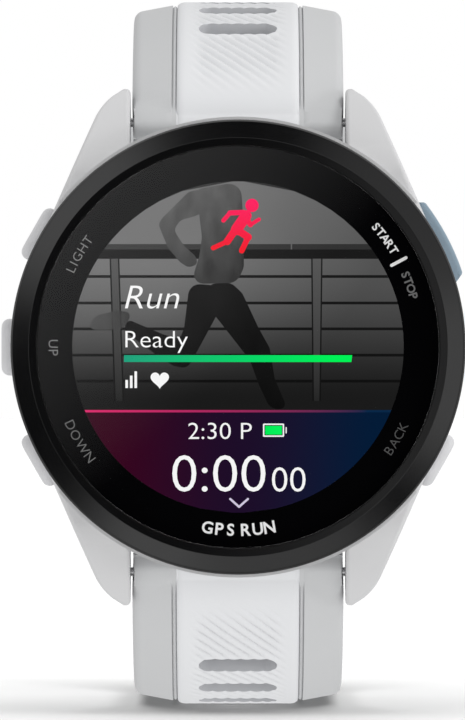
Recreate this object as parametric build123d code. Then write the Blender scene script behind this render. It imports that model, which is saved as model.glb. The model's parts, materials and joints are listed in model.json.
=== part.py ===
"""GPS running watch: round case, five buttons and a two-part silicone strap.

Frame: millimetres, 12 o'clock towards +Z, 3 o'clock towards +X, dial facing -Y.
The origin is the middle of the sensor window's wrist face, so a height above the
wrist is measured along -Y. The strap is unfastened: its buckle half curls over the
wrist space and its tail half curls under it.
"""

from math import asin, cos, degrees, hypot, radians, sin, sqrt
import os

from build123d import *

# Case heights above the wrist
BACK = 1.0
COVER_TOP = 2.3
CASE_TOP = 9.8
BEZEL_TOP = 12.6
BEZEL_LEDGE = 10.6
LENS_BOTTOM = 10.75
LENS_TOP = 12.2
DISPLAY_BOTTOM = 9.4
BOARD_BOTTOM = 7.6
BOARD_TOP = 8.4

# Case radii
CAVITY_R = 16.8
COVER_SEAT_R = 18.0
CASE_R = 20.85
RIM_R = 21.3
BEZEL_R = 21.1
BEZEL_FACE_R = 19.4
LENS_SEAT_R = 18.75
LENS_R = 18.7
BEZEL_BORE_R = 17.9
DISPLAY_R = 16.6
WINDOW_R = 7.5

# Lugs and quick-release bars
WAIST = 5.5
LUG_GAP = 20.1
LUG_ROOT_Z = 9.0
LUG_TIP_Z = 24.15
BAR_Z = 21.0
BAR_HEIGHT = 4.6
WALL_Z = 18.75
TUBE_R = 0.75
TUBE_BORE_R = 0.5
PIN_R = 0.42
PIN_TIP_X = 11.1
LEVER_X = 6.6
LEVER_TRAVEL = 1.5
RUNNING_GAP = 0.05

# Buttons
BUTTON_HEIGHT = 6.2
BUTTON_TIP_R = 22.05
CAP_BASE = 19.6
POCKET_FLOOR = 18.9
SPRING_SEAT = 17.9
STEM_R = 0.65
STEM_END = 15.95
SMALL_CAP = (5.3, 3.3)
LONG_CAP = (8.5, 3.3)
SMALL_BUTTONS = {"light": 150.3, "up": 180.0, "down": 209.7, "back": 330.3}
START_ANGLE = 28.0
BUTTONS = {**SMALL_BUTTONS, "start": START_ANGLE}

# Strap
STRAP_WIDTH = 19.8
STRAP_HALF_T = 1.65
INLAY_WIDTH = 11.5
INLAY_FLOOR = 0.55
INLAY_START = 0.9
UPPER_INLAY_END = 60.5
LOWER_INLAY_END = 93.0
GROOVE_WIDTH = 0.45
KNUCKLE_R = 1.9
SLOT_SIZE = (7.4, 2.25)
SLOT_PITCH = 5.05
UPPER_FIRST_SLOT = 12.1
LOWER_FIRST_SLOT = 11.5
UPPER_OUTER_R = 28.0
UPPER_TOP_Z = 33.1
LOWER_OUTER_R = 30.0
LOWER_END_Z = 34.2
TAIL_FLAT = 22.0
TAIL_BEND_R = 28.0
TAIL_TIP = 6.0
UPPER_SLOTS = 7
LOWER_SLOTS = 16

# Buckle and keepers
BUCKLE_PIN_R = 0.75
BUCKLE_INNER = 20.4
BUCKLE_OUTER = 24.2
BUCKLE_LENGTH = 13.7
BUCKLE_BAR = 2.2
BUCKLE_T = 2.0
TONGUE_WIDTH = 2.0
KEEPER_WALL = 1.2
KEEPER_HEADROOM = 3.6
KEEPER_WIDTH = 4.5
FIXED_KEEPER_GAP = 5.0
FREE_KEEPER_GAP = 10.4


def disc(radius, low, high, x=0.0, z=0.0):
    """Cylinder along the dial axis between two heights above the wrist."""
    return extrude(Plane.XZ.offset(low) * Pos(x, z) * Circle(radius), high - low)


def ring(outer, inner, low, high):
    """Flat ring round the dial axis."""
    return disc(outer, low, high) - disc(inner, low, high)


def block(width, depth, low, high, x=0.0, z=0.0, corner=0.4):
    """Rounded block standing between two heights above the wrist."""
    outline = RectangleRounded(width, depth, corner)
    return extrude(Plane.XZ.offset(low) * Pos(x, z) * outline, high - low)


def turned(points):
    """Solid turned round the dial axis from (radius, height) corners."""
    return revolve(Polygon(*[(r, -h) for r, h in points], align=None), Axis.Y)


def rod(radius, low, high, y=0.0, z=0.0):
    """Cylinder along X between two places on that axis."""
    return extrude(Plane.YZ.offset(low) * Pos(y, z) * Circle(radius), high - low)


def at_angle(shape, angle):
    """Turn a shape made towards +X round the dial axis to a clock angle."""
    return Rot(0, -angle, 0) * shape


def around(shape_of, angles):
    """Copies of one shape at several clock angles, as one group."""
    return Compound(children=[at_angle(shape_of, angle) for angle in angles])


# ---- case -------------------------------------------------------------------------

BOSS_ANGLES = (60, 120, 240, 300)
BOSS_R = 15.75


def on_boss_circle(make):
    """One shape on each screw boss, joined in a list."""
    return [make(BOSS_R * cos(radians(a)), BOSS_R * sin(radians(a))) for a in BOSS_ANGLES]


def lug_plan(inset):
    """Lug outline seen along the dial axis, its outer side moved in by an inset."""
    half_gap = LUG_GAP / 2
    flank = Line((18.78 - inset, LUG_ROOT_Z), (13.35 - inset, 21.3))
    shoulder = TangentArc(flank @ 1, (10.7, LUG_TIP_Z), tangent=flank % 1)
    tip = Line((10.7, LUG_TIP_Z), (half_gap, LUG_TIP_Z))
    inside = Line(tip @ 1, (half_gap, LUG_ROOT_Z))
    return make_face([flank, shoulder, tip, inside, Line(inside @ 1, flank @ 0)])


def lug():
    """One lug at upper right: its plan, tapered towards the wrist, cut to its side."""
    side = make_face(
        [
            Line((-BACK, LUG_ROOT_Z), (-CASE_TOP, LUG_ROOT_Z)),
            Line((-CASE_TOP, LUG_ROOT_Z), (-CASE_TOP, 14.5)),
            ThreePointArc((-CASE_TOP, 14.5), (-8.35, 20.6), (-4.4, LUG_TIP_Z)),
            ThreePointArc((-4.4, LUG_TIP_Z), (-3.1, 24.0), (-2.1, 23.2)),
            ThreePointArc((-2.1, 23.2), (-1.3, 21.4), (-BACK, 18.5)),
            Line((-BACK, 18.5), (-BACK, LUG_ROOT_Z)),
        ]
    )
    taper = loft([Plane.XZ.offset(BACK) * lug_plan(1.85), Plane.XZ.offset(WAIST) * lug_plan(0)])
    body = taper + extrude(Plane.XZ.offset(WAIST) * lug_plan(0), CASE_TOP - WAIST)
    body = body & extrude(Plane.YZ * side, 20)
    flat_end = CASE_TOP - 0.1

    def rounded(edge):
        """True on the front edges of the outer side and on the inner side's tip."""
        middle = edge @ 0.5
        outer = middle.X > 14 or (middle.X > 12 and middle.Y > -flat_end)
        front = middle.Y < -WAIST - 0.5 and middle.Z > LUG_ROOT_Z + 0.5
        inner_tip = abs(middle.X - LUG_GAP / 2) < 0.01 and middle.Z > 18
        return (outer and front) or inner_tip

    return fillet(body.edges().filter_by(rounded), 0.4)


def lug_bridge():
    """Thin rim that runs round between two lugs, just under the bezel."""
    rim = ring(RIM_R, CAVITY_R + 2, CASE_TOP - 0.55, CASE_TOP)
    return rim & (Pos(0, 0, 20) * Box(33.0, 40, 16))


def button_pocket(cap):
    """Everything cut from the case for one button, made towards +X."""
    length, height = cap
    gap = 0.12
    corner = height / 2 if cap == SMALL_CAP else 0.1
    outline = RectangleRounded(height + 2 * gap, length + 2 * gap, corner)
    pocket = extrude(Plane.YZ.offset(POCKET_FLOOR) * Pos(-BUTTON_HEIGHT, 0) * outline, 6)
    seat = rod(1.28, SPRING_SEAT, POCKET_FLOOR + 0.1, -BUTTON_HEIGHT)
    bore = rod(STEM_R + RUNNING_GAP, CAVITY_R - 0.5, SPRING_SEAT + 0.1, -BUTTON_HEIGHT)
    groove = rod(1.1, 17.1, 17.56, -BUTTON_HEIGHT)
    return pocket + seat + bore + groove


def strap_recess():
    """Room for one strap root between the lugs, with rounded inner corners."""
    outline = Pos(0, WALL_Z + 5) * RectangleRounded(LUG_GAP, 10, 1.2)
    return extrude(Plane.XZ * outline, CASE_TOP - 0.9)


def mid_case():
    """Case ring with its lugs, bores, button pockets and screw bosses."""
    profile = make_face(
        [
            Line((COVER_SEAT_R, -BACK), (19.2, -BACK)),
            ThreePointArc((19.2, -BACK), (20.45, -2.6), (CASE_R, -WAIST)),
            Line((CASE_R, -WAIST), (CASE_R, -CASE_TOP)),
            Line((CASE_R, -CASE_TOP), (CAVITY_R, -CASE_TOP)),
            Line((CAVITY_R, -CASE_TOP), (CAVITY_R, -COVER_TOP)),
            Line((CAVITY_R, -COVER_TOP), (COVER_SEAT_R, -COVER_TOP)),
            Line((COVER_SEAT_R, -COVER_TOP), (COVER_SEAT_R, -BACK)),
        ]
    )
    case = revolve(profile, Axis.Y)
    one = lug()
    upper = one + mirror(one, Plane.YZ) + lug_bridge()
    lugs = upper + mirror(upper, Plane.XY)
    lugs = lugs - disc(CAVITY_R + 1, 0, CASE_TOP + 1) - disc(COVER_SEAT_R, 0, COVER_TOP)
    recess = strap_recess()
    case = case + lugs - recess - mirror(recess, Plane.XY)
    boss = on_boss_circle(lambda x, z: disc(1.75, COVER_TOP, BOARD_BOTTOM, x, z))
    case = case + [b & disc(CAVITY_R + 0.5, 0, CASE_TOP) for b in boss]
    case = case - on_boss_circle(lambda x, z: disc(0.57, 0, 6.4, x, z))
    for name, angle in BUTTONS.items():
        cap = LONG_CAP if name == "start" else SMALL_CAP
        case = case - at_angle(button_pocket(cap), angle)
    bore = rod(PIN_R + RUNNING_GAP, -11.4, 11.4, -BAR_HEIGHT, BAR_Z)
    case = case - bore - mirror(bore, Plane.XY)
    seal_groove = ring(17.75, 17.05, COVER_TOP - 0.1, COVER_TOP + 0.55)
    antenna_groove = ring(20.3, 18.9, CASE_TOP - 0.55, CASE_TOP + 0.1)
    return case - seal_groove - antenna_groove


def bezel():
    """Black ring that holds the lens, with a slightly conical top."""
    return turned(
        [
            (BEZEL_BORE_R, CASE_TOP),
            (BEZEL_R, CASE_TOP),
            (BEZEL_R, 12.0),
            (20.85, 12.3),
            (BEZEL_FACE_R, BEZEL_TOP),
            (LENS_SEAT_R, LENS_TOP),
            (LENS_SEAT_R, BEZEL_LEDGE),
            (BEZEL_BORE_R, BEZEL_LEDGE),
        ]
    )


def back_cover():
    """Back plate with the sensor boss, charging socket and screw holes."""
    cover = disc(COVER_SEAT_R - 0.08, BACK, COVER_TOP)
    cover += turned([(0, BACK), (10.6, BACK), (8.9, 0.35), (0, 0.35)])
    cover = cover - disc(WINDOW_R + 0.05, 0, 1.05) - disc(6.6, 0, COVER_TOP)
    cover = cover - on_boss_circle(lambda x, z: disc(0.7, 0, COVER_TOP, x, z))
    cover = cover - on_boss_circle(lambda x, z: disc(1.25, 0, 1.8, x, z))
    cover = cover - block(7.4, 3.0, 0, 1.8, 0, SOCKET_Z, 0.9)
    cover = cover - [disc(0.55, 0, COVER_TOP, x, SOCKET_Z) for x in CONTACT_X]
    return cover - disc(0.5, 0, COVER_TOP, VENT_X, VENT_Z)


def back_screws():
    """Four small screws with a cross recess in each head."""

    def screw(x, z):
        body = disc(1.2, 1.2, 1.78, x, z) + disc(0.55, 1.7, 6.2, x, z)
        cross = block(1.5, 0.32, 1.0, 1.5, x, z, 0.1) + block(0.32, 1.5, 1.0, 1.5, x, z, 0.1)
        return body - cross

    return Compound(children=on_boss_circle(screw))


# ---- inside the case --------------------------------------------------------------

SOCKET_Z = -13.0
CONTACT_X = (-2.7, -0.9, 0.9, 2.7)
VENT_X = -12.6
VENT_Z = -6.0


def torus_ring(major, minor, height):
    """Round seal lying round the dial axis."""
    return Plane.XZ.offset(height) * Torus(major, minor)


def sensor_window():
    """Clear window over the heart-rate sensor, its edge softened."""
    window = disc(WINDOW_R, 0, 1.05)
    rim = window.edges().filter_by(lambda e: abs((e @ 0.5).Y) < 0.01)
    return chamfer(rim, 0.35)


def sensor_leds():
    """Two green lamps, one red lamp and the light sensor between them."""
    lamps = [block(1.5, 1.0, 1.1, 1.5, x, z, 0.1) for x, z in ((-2.6, 0), (2.6, 0), (0, 2.6))]
    return Compound(children=lamps + [block(2.4, 2.4, 1.1, 1.5, 0, -0.6, 0.1)])


def charge_contacts():
    """Four sprung pads in the charging socket."""
    pads = [
        disc(0.75, 1.55, 1.8, x, SOCKET_Z) + disc(0.5, 1.7, 2.75, x, SOCKET_Z)
        for x in CONTACT_X
    ]
    return Compound(children=pads)


def inner_frame():
    """Plastic frame under the display, with feet that stand on the board."""
    plate = disc(DISPLAY_R, 8.8, DISPLAY_BOTTOM) - block(15, 11, 8.8, 9.4, 0, 1)
    plate = plate - block(10, 4, 8.8, DISPLAY_BOTTOM, 0, -16)
    for x, z in ((10, 9), (-10, 9), (10, -9), (-10, -9)):
        plate += disc(1.1, BOARD_TOP, 8.9, x, z)
    return plate


def display_flex():
    """Ribbon from the display's lower edge down to the board."""
    riser = block(8, 0.2, BOARD_TOP, DISPLAY_BOTTOM, 0, -14.9, 0.05)
    foot = block(8, 2.4, BOARD_TOP, BOARD_TOP + 0.2, 0, -13.8, 0.05)
    return riser + foot


def tact_switch():
    """One edge switch under the board, its plunger towards +X."""
    low, high = 5.4, BOARD_BOTTOM
    body = extrude(Plane.XZ.offset(low) * Pos(14.5, 0) * Rectangle(1.2, 3.4), high - low)
    return body + rod(0.6, 15.0, 15.3, -BUTTON_HEIGHT)


def antenna_ring():
    """Stamped antenna loop under the bezel, open at one place."""
    return ring(20.25, 18.95, CASE_TOP - 0.5, CASE_TOP) - Pos(-19.6, -9.5, 0) * Box(3, 3, 2.4)


# ---- buttons ----------------------------------------------------------------------


def small_cap():
    """Pill cap of a small button, made towards +X."""
    length, height = SMALL_CAP
    outline = Pos(-BUTTON_HEIGHT, 0) * RectangleRounded(height, length, height / 2 - 0.02)
    cap = extrude(Plane.YZ.offset(CAP_BASE) * outline, BUTTON_TIP_R - CAP_BASE)
    return fillet(cap.faces().sort_by(Axis.X)[-1].edges(), 0.75)


def long_cap():
    """Curved cap of the start button with bevelled ends, made towards +X."""
    length, height = LONG_CAP
    half = length / 2
    plan = Polygon(
        (CAP_BASE, -half),
        (20.7, -half),
        (22.4, -half + 0.87),
        (22.4, half - 0.87),
        (20.7, half),
        (CAP_BASE, half),
        align=None,
    )
    low = BUTTON_HEIGHT - height / 2
    cap = extrude(Plane.XZ.offset(low) * plan, height) & disc(BUTTON_TIP_R, low, low + height)
    tip = cap.faces().filter_by(GeomType.CYLINDER)
    return fillet(tip[0].edges(), 0.4)


def button(cap):
    """Cap with its stem: a spring recess behind the cap and a clip groove."""
    recess = rod(1.25, CAP_BASE - 0.1, 20.5, -BUTTON_HEIGHT)
    stem = rod(STEM_R, STEM_END, 20.6, -BUTTON_HEIGHT)
    groove = rod(1.0, 16.44, 16.71, -BUTTON_HEIGHT) - rod(0.45, 16.4, 16.8, -BUTTON_HEIGHT)
    return cap - recess + stem - groove


def stem_clip():
    """Open retaining clip on the stem's groove."""
    clip = rod(1.2, 16.46, 16.69, -BUTTON_HEIGHT) - rod(0.46, 16.4, 16.8, -BUTTON_HEIGHT)
    return clip - Pos(16.6, -BUTTON_HEIGHT - 0.9, 0) * Box(1, 1.4, 0.7)


def coil(radius, wire, start, length, turns):
    """Coil spring wound along +X from a start place."""
    pitch = (length - 2 * wire) / turns
    line = Helix(pitch, length - 2 * wire, radius)
    profile = Plane(line @ 0, z_dir=line % 0) * Circle(wire)
    wound = sweep(profile, line, is_frenet=True)
    return Pos(start + wire, 0, 0) * Rot(0, 90, 0) * wound


def button_spring():
    """Return spring round the stem, between its seat and the cap."""
    length = 20.5 - SPRING_SEAT - 0.06
    return Pos(0, -BUTTON_HEIGHT, 0) * coil(0.98, 0.12, SPRING_SEAT + 0.03, length, 3.5)


def button_seal():
    """O-ring round one stem."""
    return Pos(17.33, -BUTTON_HEIGHT, 0) * Rot(0, 90, 0) * Torus(0.88, 0.2)


# ---- strap ------------------------------------------------------------------------
# Both halves are made above the case. The tail half is then mirrored below it.
# A strap arc's angle is measured at its centre, from the dial side round to the back.


def arc_centre(outer_r, end_z):
    """Centre of a root arc that passes through the bar and reaches end_z."""
    mid_r = outer_r - STRAP_HALF_T
    centre_z = end_z - outer_r
    return -BAR_HEIGHT + sqrt(mid_r**2 - (BAR_Z - centre_z) ** 2), centre_z


def root_angle(outer_r, end_z):
    """Angle of the bar on the root arc."""
    return degrees(asin((BAR_Z - end_z + outer_r) / (outer_r - STRAP_HALF_T)))


def strap_arc(centre, mid_r, start, stop):
    """Arc of the strap's middle line between two angles."""
    return Plane.YZ * CenterArc(centre, mid_r, 180 - start, start - stop)


UPPER_CENTRE = arc_centre(UPPER_OUTER_R, UPPER_TOP_Z)
UPPER_MID_R = UPPER_OUTER_R - STRAP_HALF_T
UPPER_START = root_angle(UPPER_OUTER_R, UPPER_TOP_Z)
LOWER_CENTRE = arc_centre(LOWER_OUTER_R, LOWER_END_Z)
LOWER_MID_R = LOWER_OUTER_R - STRAP_HALF_T
LOWER_START = root_angle(LOWER_OUTER_R, LOWER_END_Z)
BUCKLE_Y = UPPER_CENTRE[0] + UPPER_MID_R
BUCKLE_Z = UPPER_CENTRE[1]


def upper_line():
    """Middle line of the buckle half, from its bar to the buckle pin."""
    return strap_arc(UPPER_CENTRE, UPPER_MID_R, UPPER_START, 180)


def lower_line():
    """Middle line of the tail half: root arc, flat, bend and tip."""
    root = strap_arc(LOWER_CENTRE, LOWER_MID_R, LOWER_START, 90)
    flat_end = root @ 1 + Vector(0, TAIL_FLAT, 0)
    flat = Line(root @ 1, flat_end)
    bend = strap_arc((flat_end.Y, flat_end.Z - TAIL_BEND_R), TAIL_BEND_R, 90, 180)
    tip = Line(bend @ 1, bend @ 1 - Vector(0, 0, TAIL_TIP))
    return Wire([*root.edges(), flat, *bend.edges(), tip])


def station(line, distance):
    """Plane on the middle line, facing outwards, X across the strap."""
    t = distance / line.length
    along = line % t
    return Plane(line @ t, x_dir=(1, 0, 0), z_dir=(0, -along.Z, along.Y))


def along(line, start, stop, section):
    """Sweep a section (across, outward) along a stretch of the middle line."""
    stretch = Wire(line.edges()).trim(start / line.length, stop / line.length)
    along_start = stretch % 0
    frame = Plane(stretch @ 0, x_dir=(-1, 0, 0), z_dir=along_start)
    return sweep(frame * section, stretch)


def strap_section():
    """Strap across its width: crowned borders, grooves and the inlay's channel."""
    half = STRAP_WIDTH / 2
    bed = INLAY_WIDTH / 2
    groove = bed + GROOVE_WIDTH
    right = [
        (0, -STRAP_HALF_T),
        (half - 0.7, -STRAP_HALF_T),
        (half, -STRAP_HALF_T + 0.6),
        (half, 0.2),
        (half - 0.5, 0.75),
        (groove, 1.35),
        (groove, 0.95),
        (bed, 0.95),
        (bed, INLAY_FLOOR),
        (0, INLAY_FLOOR),
    ]
    left = [(-x, n) for x, n in reversed(right[1:-1])]
    return Polygon(*right, *left, align=None)


def inlay_section():
    """White middle band across its width, slightly crowned."""
    bed = INLAY_WIDTH / 2
    return Polygon(
        (-bed, INLAY_FLOOR),
        (bed, INLAY_FLOOR),
        (bed, 1.45),
        (bed - 0.4, STRAP_HALF_T),
        (0.4 - bed, STRAP_HALF_T),
        (-bed, 1.45),
        align=None,
    )


def slots(line, first, count):
    """Row of through slots along a strap half, the first one's distance from the bar given."""
    cut = SlotOverall(*SLOT_SIZE)
    places = [station(line, first + SLOT_PITCH * i) for i in range(count)]
    return [extrude(place * cut, 4, both=True) for place in places]


def lever_window(line):
    """Opening on the wrist side of a root, where the lever is reached."""
    width = LEVER_TRAVEL + 1.6
    middle = LEVER_X - LEVER_TRAVEL / 2
    return station(line, 0) * Pos(middle, 0, -2) * Box(width, 2.2, 4)


def strap_base(line, stop, first, count):
    """Grey base of a strap half, up to a stop distance."""
    base = along(line, 0, stop, strap_section())
    half = STRAP_WIDTH / 2 - 0.1
    base = base + rod(KNUCKLE_R, -half, half, -BAR_HEIGHT, BAR_Z)
    bed = Rectangle(INLAY_WIDTH, 3, align=(Align.CENTER, Align.MIN))
    base = base - along(line, INLAY_START, 4, Pos(0, INLAY_FLOOR) * bed)
    base = base - rod(TUBE_R + RUNNING_GAP, -half - 1, half + 1, -BAR_HEIGHT, BAR_Z)
    return base - lever_window(line) - slots(line, first, count)


def strap_inlay(line, stop, first, count):
    """White inlay of a strap half, up to a stop distance."""
    return along(line, INLAY_START, stop, inlay_section()) - slots(line, first, count)


def strap_upper():
    """Buckle half: its far end wraps the buckle pin, notched for the tongue."""
    line = upper_line()
    base = strap_base(line, line.length, UPPER_FIRST_SLOT, UPPER_SLOTS)
    groove_span = INLAY_WIDTH + 2 * GROOVE_WIDTH
    fill = Pos(0, INLAY_FLOOR + 0.3) * Rectangle(groove_span, 1.0)
    base = base + along(line, UPPER_INLAY_END, line.length, fill)
    half = STRAP_WIDTH / 2
    base = base + rod(2.0, -half, half, BUCKLE_Y, BUCKLE_Z)
    base = base - rod(BUCKLE_PIN_R + RUNNING_GAP, -half, half, BUCKLE_Y, BUCKLE_Z)
    return base - Pos(0, BUCKLE_Y, BUCKLE_Z) * Box(2.9, 6, 6.6)


def strap_lower():
    """Tail half, rounded at its tip."""
    line = lower_line()
    base = strap_base(line, line.length, LOWER_FIRST_SLOT, LOWER_SLOTS)
    return mirror(base & tail_outline(line), Plane.XY)


def tail_outline(line):
    """Everything up to a round tip on the tail's last stretch."""
    end = line @ 1
    radius = STRAP_WIDTH / 2
    tip = Plane.XZ.offset(-end.Y) * Pos(0, end.Z + radius) * Circle(radius)
    keep = extrude(tip, 5, both=True)
    rest = Pos(0, end.Y - 45, end.Z + 45 + radius) * Box(60, 120, 90)
    return keep + rest


# ---- quick-release bars, made in the upper lugs ------------------------------------


def bar_tube():
    """Tube in the strap root, slotted for the lever."""
    half = STRAP_WIDTH / 2 - 0.3
    tube = rod(TUBE_R, -half, half, -BAR_HEIGHT, BAR_Z)
    return tube - rod(TUBE_BORE_R, -half, half, -BAR_HEIGHT, BAR_Z)


def tube_slot(line):
    """Slot along the tube's wrist side for the lever's post."""
    middle = LEVER_X - LEVER_TRAVEL / 2
    return station(line, 0) * Pos(middle, 0, -1) * Box(LEVER_TRAVEL + 1.0, 0.96, 2)


def bar_pin():
    """Fixed pin at the tube's left end."""
    return rod(PIN_R, -PIN_TIP_X, -8.2, -BAR_HEIGHT, BAR_Z)


def bar_lever(line):
    """Sliding pin with the post and round head that a fingernail moves."""
    pin = rod(PIN_R, 6.0, PIN_TIP_X, -BAR_HEIGHT, BAR_Z)
    place = station(line, 0) * Pos(LEVER_X, 0, 0)
    post = place * Pos(0, 0, -1.15) * Cylinder(0.4, 2.3)
    head = place * Pos(0, 0, -2.35) * Cylinder(0.62, 0.5)
    return pin + post + head


def bar_spring():
    """Long coil spring inside the tube, between the two pins."""
    return Pos(0, -BAR_HEIGHT, BAR_Z) * coil(0.29, 0.12, -8.15, 14.1, 9)


# ---- buckle and keepers -----------------------------------------------------------


def buckle_frame():
    """U-shaped frame with a notch on its bar for the tongue's tip."""
    top = BUCKLE_Z + 1.7
    middle = top - (BUCKLE_LENGTH + 1.7) / 2
    outline = RectangleRounded(BUCKLE_OUTER, BUCKLE_LENGTH + 1.7, 1.6)
    inner_length = BUCKLE_LENGTH + 1.7 - BUCKLE_BAR
    inner = Rectangle(BUCKLE_INNER, inner_length + 2)
    plan = Pos(0, middle) * outline - Pos(0, top - inner_length / 2 + 1) * inner
    frame = extrude(Plane.XZ.offset(-BUCKLE_Y) * plan, BUCKLE_T / 2, both=True)
    long_edges = frame.edges().filter_by(lambda e: e.length > 6 and abs((e @ 0.5).X) > 11.9)
    frame = fillet(long_edges, 0.5)
    half = BUCKLE_OUTER / 2
    frame = frame - rod(BUCKLE_PIN_R + 0.02, -half + 0.4, half - 0.4, BUCKLE_Y, BUCKLE_Z)
    notch = Pos(0, BUCKLE_Y + 1.35, top - inner_length - 1) * Box(2.6, 2, 4)
    return frame - notch


def buckle_pin():
    """Pin through the frame's arms and the strap end."""
    half = BUCKLE_OUTER / 2 - 0.5
    return rod(BUCKLE_PIN_R, -half, half, BUCKLE_Y, BUCKLE_Z)


def buckle_tongue():
    """Tongue with a loop round the pin, resting in the frame's notch."""
    side = Polygon(
        (BUCKLE_Y - 0.4, BUCKLE_Z),
        (BUCKLE_Y + 0.45, BUCKLE_Z - 11.0),
        (BUCKLE_Y + 0.45, BUCKLE_Z - 14.2),
        (BUCKLE_Y + 1.2, BUCKLE_Z - 14.2),
        (BUCKLE_Y + 1.6, BUCKLE_Z - 13.2),
        (BUCKLE_Y + 1.5, BUCKLE_Z),
        align=None,
    )
    tongue = extrude(Plane.YZ * side, TONGUE_WIDTH / 2, both=True)
    half = TONGUE_WIDTH / 2
    tongue = tongue + rod(1.5, -half, half, BUCKLE_Y, BUCKLE_Z)
    return tongue - rod(BUCKLE_PIN_R + RUNNING_GAP, -half, half, BUCKLE_Y, BUCKLE_Z)


def keeper(gap_to_pin):
    """Closed loop round the strap, a given distance before the buckle pin."""
    line = upper_line()
    clear = 0.15
    low = -STRAP_HALF_T - clear
    high = STRAP_HALF_T + KEEPER_HEADROOM
    width = STRAP_WIDTH + 2 * clear
    hole = Pos(0, (low + high) / 2) * RectangleRounded(width, high - low, 0.5)
    wall = 2 * KEEPER_WALL
    outer = Pos(0, (low + high) / 2) * RectangleRounded(width + wall, high - low + wall, 1.3)
    stop = line.length - gap_to_pin
    return along(line, stop - KEEPER_WIDTH, stop, outer - hole)


# ---- write every piece ------------------------------------------------------------


def make_pieces():
    """Every sub-part by its node name."""
    upper, lower = upper_line(), lower_line()
    below = Plane.XY
    pieces = {
        "mid_case": mid_case(),
        "bezel": bezel(),
        "cover_lens": disc(LENS_R, LENS_BOTTOM, LENS_TOP),
        "lens_gasket": ring(18.6, 18.0, BEZEL_LEDGE, LENS_BOTTOM),
        "display_panel": disc(DISPLAY_R, DISPLAY_BOTTOM, 10.7),
        "inner_frame": inner_frame(),
        "display_flex": display_flex(),
        "main_board": disc(15.7, BOARD_BOTTOM, BOARD_TOP),
        "board_shield": block(13, 8, 6.5, BOARD_BOTTOM, 0, 4, 0.6),
        "battery_cell": block(20, 15, 2.6, 5.9, 0, 1.5, 1.2),
        "vibration_motor": disc(4.0, 3.0, 5.6, 0, -11.3),
        "buzzer": disc(3.3, 2.5, 4.2, 0, 12.9),
        "antenna_ring": antenna_ring(),
        "back_cover": back_cover(),
        "back_seal": torus_ring(17.4, 0.25, COVER_TOP + 0.275),
        "back_screws": back_screws(),
        "sensor_window": sensor_window(),
        "sensor_board": disc(6.5, 1.5, 2.1),
        "sensor_leds": sensor_leds(),
        "charge_contacts": charge_contacts(),
        "pressure_vent": disc(1.1, COVER_TOP, COVER_TOP + 0.2, VENT_X, VENT_Z),
        "tact_switches": around(tact_switch(), BUTTONS.values()),
        "button_seals": around(button_seal(), BUTTONS.values()),
        "strap_upper": strap_upper(),
        "strap_upper_inlay": strap_inlay(upper, UPPER_INLAY_END, UPPER_FIRST_SLOT, UPPER_SLOTS),
        "strap_lower": strap_lower(),
        "strap_lower_inlay": mirror(strap_inlay(lower, LOWER_INLAY_END, LOWER_FIRST_SLOT, LOWER_SLOTS), below),
        "buckle_frame": buckle_frame(),
        "buckle_pin": buckle_pin(),
        "buckle_tongue": buckle_tongue(),
        "keeper_fixed": keeper(FIXED_KEEPER_GAP),
        "keeper_free": keeper(FREE_KEEPER_GAP),
    }
    for name, angle in BUTTONS.items():
        cap = long_cap() if name == "start" else small_cap()
        pieces[f"button_{name}"] = at_angle(button(cap), angle)
        pieces[f"clip_{name}"] = at_angle(stem_clip(), angle)
        pieces[f"spring_{name}"] = at_angle(button_spring(), angle)
    for half, line in (("upper", upper), ("lower", lower)):
        bar = {
            "tube": bar_tube() - tube_slot(line),
            "pin": bar_pin(),
            "lever": bar_lever(line),
            "spring": bar_spring(),
        }
        for name, shape in bar.items():
            pieces[f"bar_{half}_{name}"] = shape if half == "upper" else mirror(shape, below)
    return pieces


os.makedirs("parts", exist_ok=True)
for node, shape in make_pieces().items():
    export_step(shape, f"parts/{node}.step")
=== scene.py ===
"""GPS running watch: finished case, lens, lit display, ribbed strap and a plain studio.

Lengths are in millimetres until a mesh is made. A place on the watch is (x, height, z):
x to 3 o'clock, z to 12 o'clock, and height above the wrist, which is along -Y.
"""

import json
import logging
import math
from dataclasses import dataclass, field
from enum import Enum
from typing import Any, Callable, Iterable, Sequence

import bmesh
import bpy
from mathutils import Matrix, Vector
from mathutils.geometry import delaunay_2d_cdt

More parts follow.
